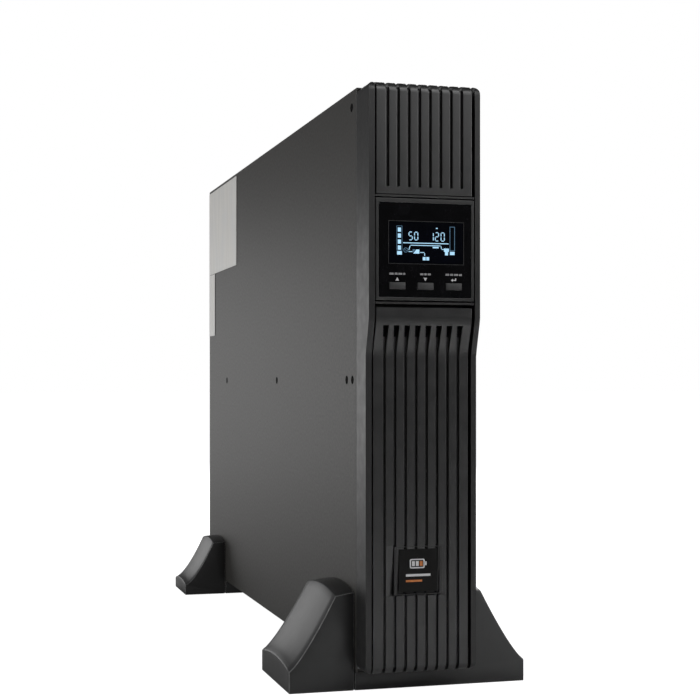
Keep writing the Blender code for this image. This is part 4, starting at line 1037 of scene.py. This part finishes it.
def port_contacts():
    """Plated contacts in the network, USB and serial ports, the serial port's posts, and terminal screws."""
    gilt = bmesh.new()
    low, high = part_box("network_ports")
    for port in NETWORK_PORTS:
        for pin in range(8):
            x = low.x + port + (pin - 3.5) * 1.02 * MM
            spot = (x, high.y - 7 * MM, high.z - 5.4 * MM)
            raised(gilt, "rear", spot, bar(-0.22 * MM, 0, 0.22 * MM, 1.6 * MM), 6 * MM)
    usb = middle("usb_port") - Vector((0, 11 * MM, 0))
    raised(gilt, "rear", usb, bar(-2.6 * MM, -1.6 * MM, 2.6 * MM, 1.6 * MM), 9 * MM)
    serial = middle("serial_port")
    for row, count in ((1.4, 5), (-1.4, 4)):
        for pin in range(count):
            across = (pin - (count - 1) / 2) * 2.77 * MM
            spot = serial + Vector((across, -9 * MM, row * MM))
            turned(gilt, "rear", spot, PIN_SECTION, 12)
    piece("port_contacts", gilt, LOOKS["plated_pin"], "root")
    posts = bmesh.new()
    for across in (-12.5 * MM, 12.5 * MM):
        turned(posts, "rear", serial + Vector((across, 0, 0)), POST_SECTION, 6)
    low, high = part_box("remote_off_terminal")
    for entry in range(4):
        spot = (low.x + (3 + 4 * entry) * MM, high.y, high.z - 2.7 * MM)
        screw(posts, "rear", spot, 1.3 * MM, 0.5 * MM)
    piece("port_posts", posts, STEEL, "root")


def fan_label():
    """A round film on the fan's hub, with a printed ring."""
    hub = middle("fan_rotor")
    film = bmesh.new()
    turned(film, "rear", hub, FILM_SECTION, 48)
    piece("fan_hub_film", film, LOOKS["blank_label"], "rotor")
    ring = bmesh.new()
    face = hub + Vector((0, FILM_SECTION[-1][1], 0))
    framed(ring, "rear", face, polygon(11 * MM, 48), polygon(10.2 * MM, 48), 0.1 * MM)
    piece("fan_hub_ring", ring, GREY_INK, "rotor")


def port_lamps():
    """A green and an amber lamp over each network port."""
    low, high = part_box("network_ports")
    lens = rounded(-1.3 * MM, -0.7 * MM, 1.3 * MM, 0.7 * MM, 0.3 * MM)
    for name, look, offset in (("link_lamps", GREEN_LAMP, -4.2 * MM), ("data_lamps", AMBER_LAMP, 4.2 * MM)):
        bm = bmesh.new()
        for port in NETWORK_PORTS:
            spot = (low.x + port + offset, high.y, high.z - 1.9 * MM)
            raised(bm, "rear", spot, lens, 0.3 * MM, 0.1 * MM)
        piece(name, bm, look, "root")


# The widths in millimetres of the dashes printed over the ports
PORT_DASHES = {"serial_port": 9, "usb_port": 6, "network_ports": 14, "remote_off_terminal": 10}


def rear_marks():
    """A plain printed frame round the outlets, and a short dash over each port."""
    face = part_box("rear_panel")[1].y
    print_height = 0.12 * MM
    bm = bmesh.new()
    corners = [corner for outlet in ("outlet_1", "outlet_6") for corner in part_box(outlet)]
    across = [-corner.x for corner in corners]
    up = [corner.z for corner in corners]
    outlets = (min(across), min(up), max(across), max(up))
    outer = inset(outlets, -2.6 * MM)
    inner = inset(outer, 0.5 * MM)
    framed(bm, "rear", (0, face, 0), rounded(*outer, 2.5 * MM), rounded(*inner, 2 * MM), print_height)
    for node, width in PORT_DASHES.items():
        low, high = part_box(node)
        spot = ((low.x + high.x) / 2, face, high.z + 2.4 * MM)
        raised(bm, "rear", spot, bar(-width / 2 * MM, -0.5 * MM, width / 2 * MM, 0.5 * MM), print_height)
    piece("rear_marks", bm, GREY_INK, "root")


# Battery pack: seen when it is slid out

SLEEVE_HEIGHT = 0.3 * MM
PRINT_HEIGHT = 0.1 * MM


def pack_pictogram(bm, side, face, across, up):
    """A battery with three cells, printed round a middle given on that side."""
    case = (across - 30 * MM, up - 16 * MM, across + 26 * MM, up + 16 * MM)
    hollow = inset(case, 2.5 * MM)
    framed(bm, side, face, rounded(*case, 3 * MM), rounded(*hollow, 1.5 * MM), PRINT_HEIGHT)
    terminal = bar(case[2] + 0.6 * MM, up - 6 * MM, case[2] + 4 * MM, up + 6 * MM)
    raised(bm, side, face, terminal, PRINT_HEIGHT)
    for cell in range(3):
        start = case[0] + (6 + 15 * cell) * MM
        block = bar(start, case[1] + 6 * MM, start + 11 * MM, case[3] - 6 * MM)
        raised(bm, side, face, block, PRINT_HEIGHT)


def pack_sleeve():
    """A film on each long side, with a printed border and a battery pictogram."""
    low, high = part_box("battery_pack")
    film = bmesh.new()
    marks = bmesh.new()
    for side, x, near, far in (("left", low.x, -high.y, -low.y), ("right", high.x, low.y, high.y)):
        origin = Vector((x, 0, 0))
        face = origin + SIDES[side][2] * SLEEVE_HEIGHT
        reach = (near + 12 * MM, low.z + 10 * MM, far - 12 * MM, high.z - 10 * MM)
        raised(film, side, origin, rounded(*reach, 4 * MM), SLEEVE_HEIGHT)
        border = inset(reach, 6 * MM)
        inside = inset(border, 1.2 * MM)
        framed(marks, side, face, rounded(*border, 3 * MM), rounded(*inside, 2 * MM), PRINT_HEIGHT)
        pack_pictogram(marks, side, face, (near + far) / 2, (low.z + high.z) / 2)
    piece("pack_sleeve", film, SLEEVE, "pack")
    piece("pack_print", marks, GREY_INK, "pack")


def pack_front():
    """Corner screws, screwed clips beside the strap's ends, and the rims of the plug's two contacts."""
    low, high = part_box("battery_pack")
    screws = bmesh.new()
    for x in (low.x + 8 * MM, high.x - 8 * MM):
        for z in (low.z + 6 * MM, high.z - 9 * MM):
            screw(screws, "front", (x, low.y, z), 2.2 * MM, 1.0 * MM)
    strap_low, strap_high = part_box("battery_strap")
    clips = bmesh.new()
    width, height, thickness = 5.2 * MM, 6 * MM, 2.2 * MM
    for z in (strap_low.z + 0.8 * MM, strap_high.z - 0.8 * MM - height):
        for x in (strap_low.x - 0.2 * MM - width, strap_high.x + 0.2 * MM):
            raised(clips, "front", (x, low.y, z), rounded(0, 0, width, height, MM), thickness, 0.2 * MM)
            screw(screws, "front", (x + width / 2, low.y - thickness, z + height / 2), 1.4 * MM, 0.5 * MM)
    piece("strap_clips", clips, STEEL, "pack")
    piece("pack_screws", screws, BLACK_STEEL, "pack")
    plug_low, plug_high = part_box("battery_connector")
    rim = bmesh.new()
    origin = ((plug_low.x + plug_high.x) / 2, plug_low.y, (plug_low.z + plug_high.z) / 2)
    for across in (-7.2 * MM, 7.2 * MM):
        outer = [(u + across, v) for u, v in rounded(-5.4 * MM, -8 * MM, 5.4 * MM, 8 * MM, 1.5 * MM)]
        inner = [(u + across, v) for u, v in rounded(-4 * MM, -6.6 * MM, 4 * MM, 6.6 * MM, MM)]
        framed(rim, "front", origin, outer, inner, 0.6 * MM)
        raised(rim, "front", origin, bar(across - MM, -4 * MM, across + MM, 4 * MM), 0.4 * MM)
    piece("plug_rims", rim, LOOKS["socket_plastic"], "pack")


# The CAD nodes keep their shape and get their looks, with crisp edges

# The nodes whose edges are rounded instead, and by how much
ROUNDED = {
    "bezel_rail_left": 1.0 * MM,
    "bezel_rail_right": 1.0 * MM,
    "crossbar_lower": 0.3 * MM,
    "crossbar_upper": 0.3 * MM,
    "display_housing": 0.3 * MM,
    "display_glass": 0.15 * MM,
    "side_cover": 0.5 * MM,
}


def dress_frame():
    """Gives every CAD node its look, by the name of its own material slot."""
    for name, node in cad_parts.items():
        slot = node.data.materials[0].name.split(".")[0]
        node.data.materials[0] = RAIL if name.startswith("bezel_rail") else LOOKS[slot]
        node.data.shade_smooth()
        weld = node.modifiers.new("weld", "WELD")
        weld.merge_threshold = 0.01 * MM
        if name in ROUNDED:
            flat = node.modifiers.new("flat_faces", "DECIMATE")
            flat.decimate_type = "DISSOLVE"
            flat.angle_limit = math.radians(1)
        soften(node, ROUNDED.get(name, 0.0))


lcd_figures()
lcd_outlines()
window_frame()
key_icons()
upper_panel()
door_panel()
badge_surround()
badge_mark()
cover_screws()
panel_screws()
port_contacts()
fan_label()
port_lamps()
rear_marks()
pack_sleeve()
pack_front()
dress_frame()
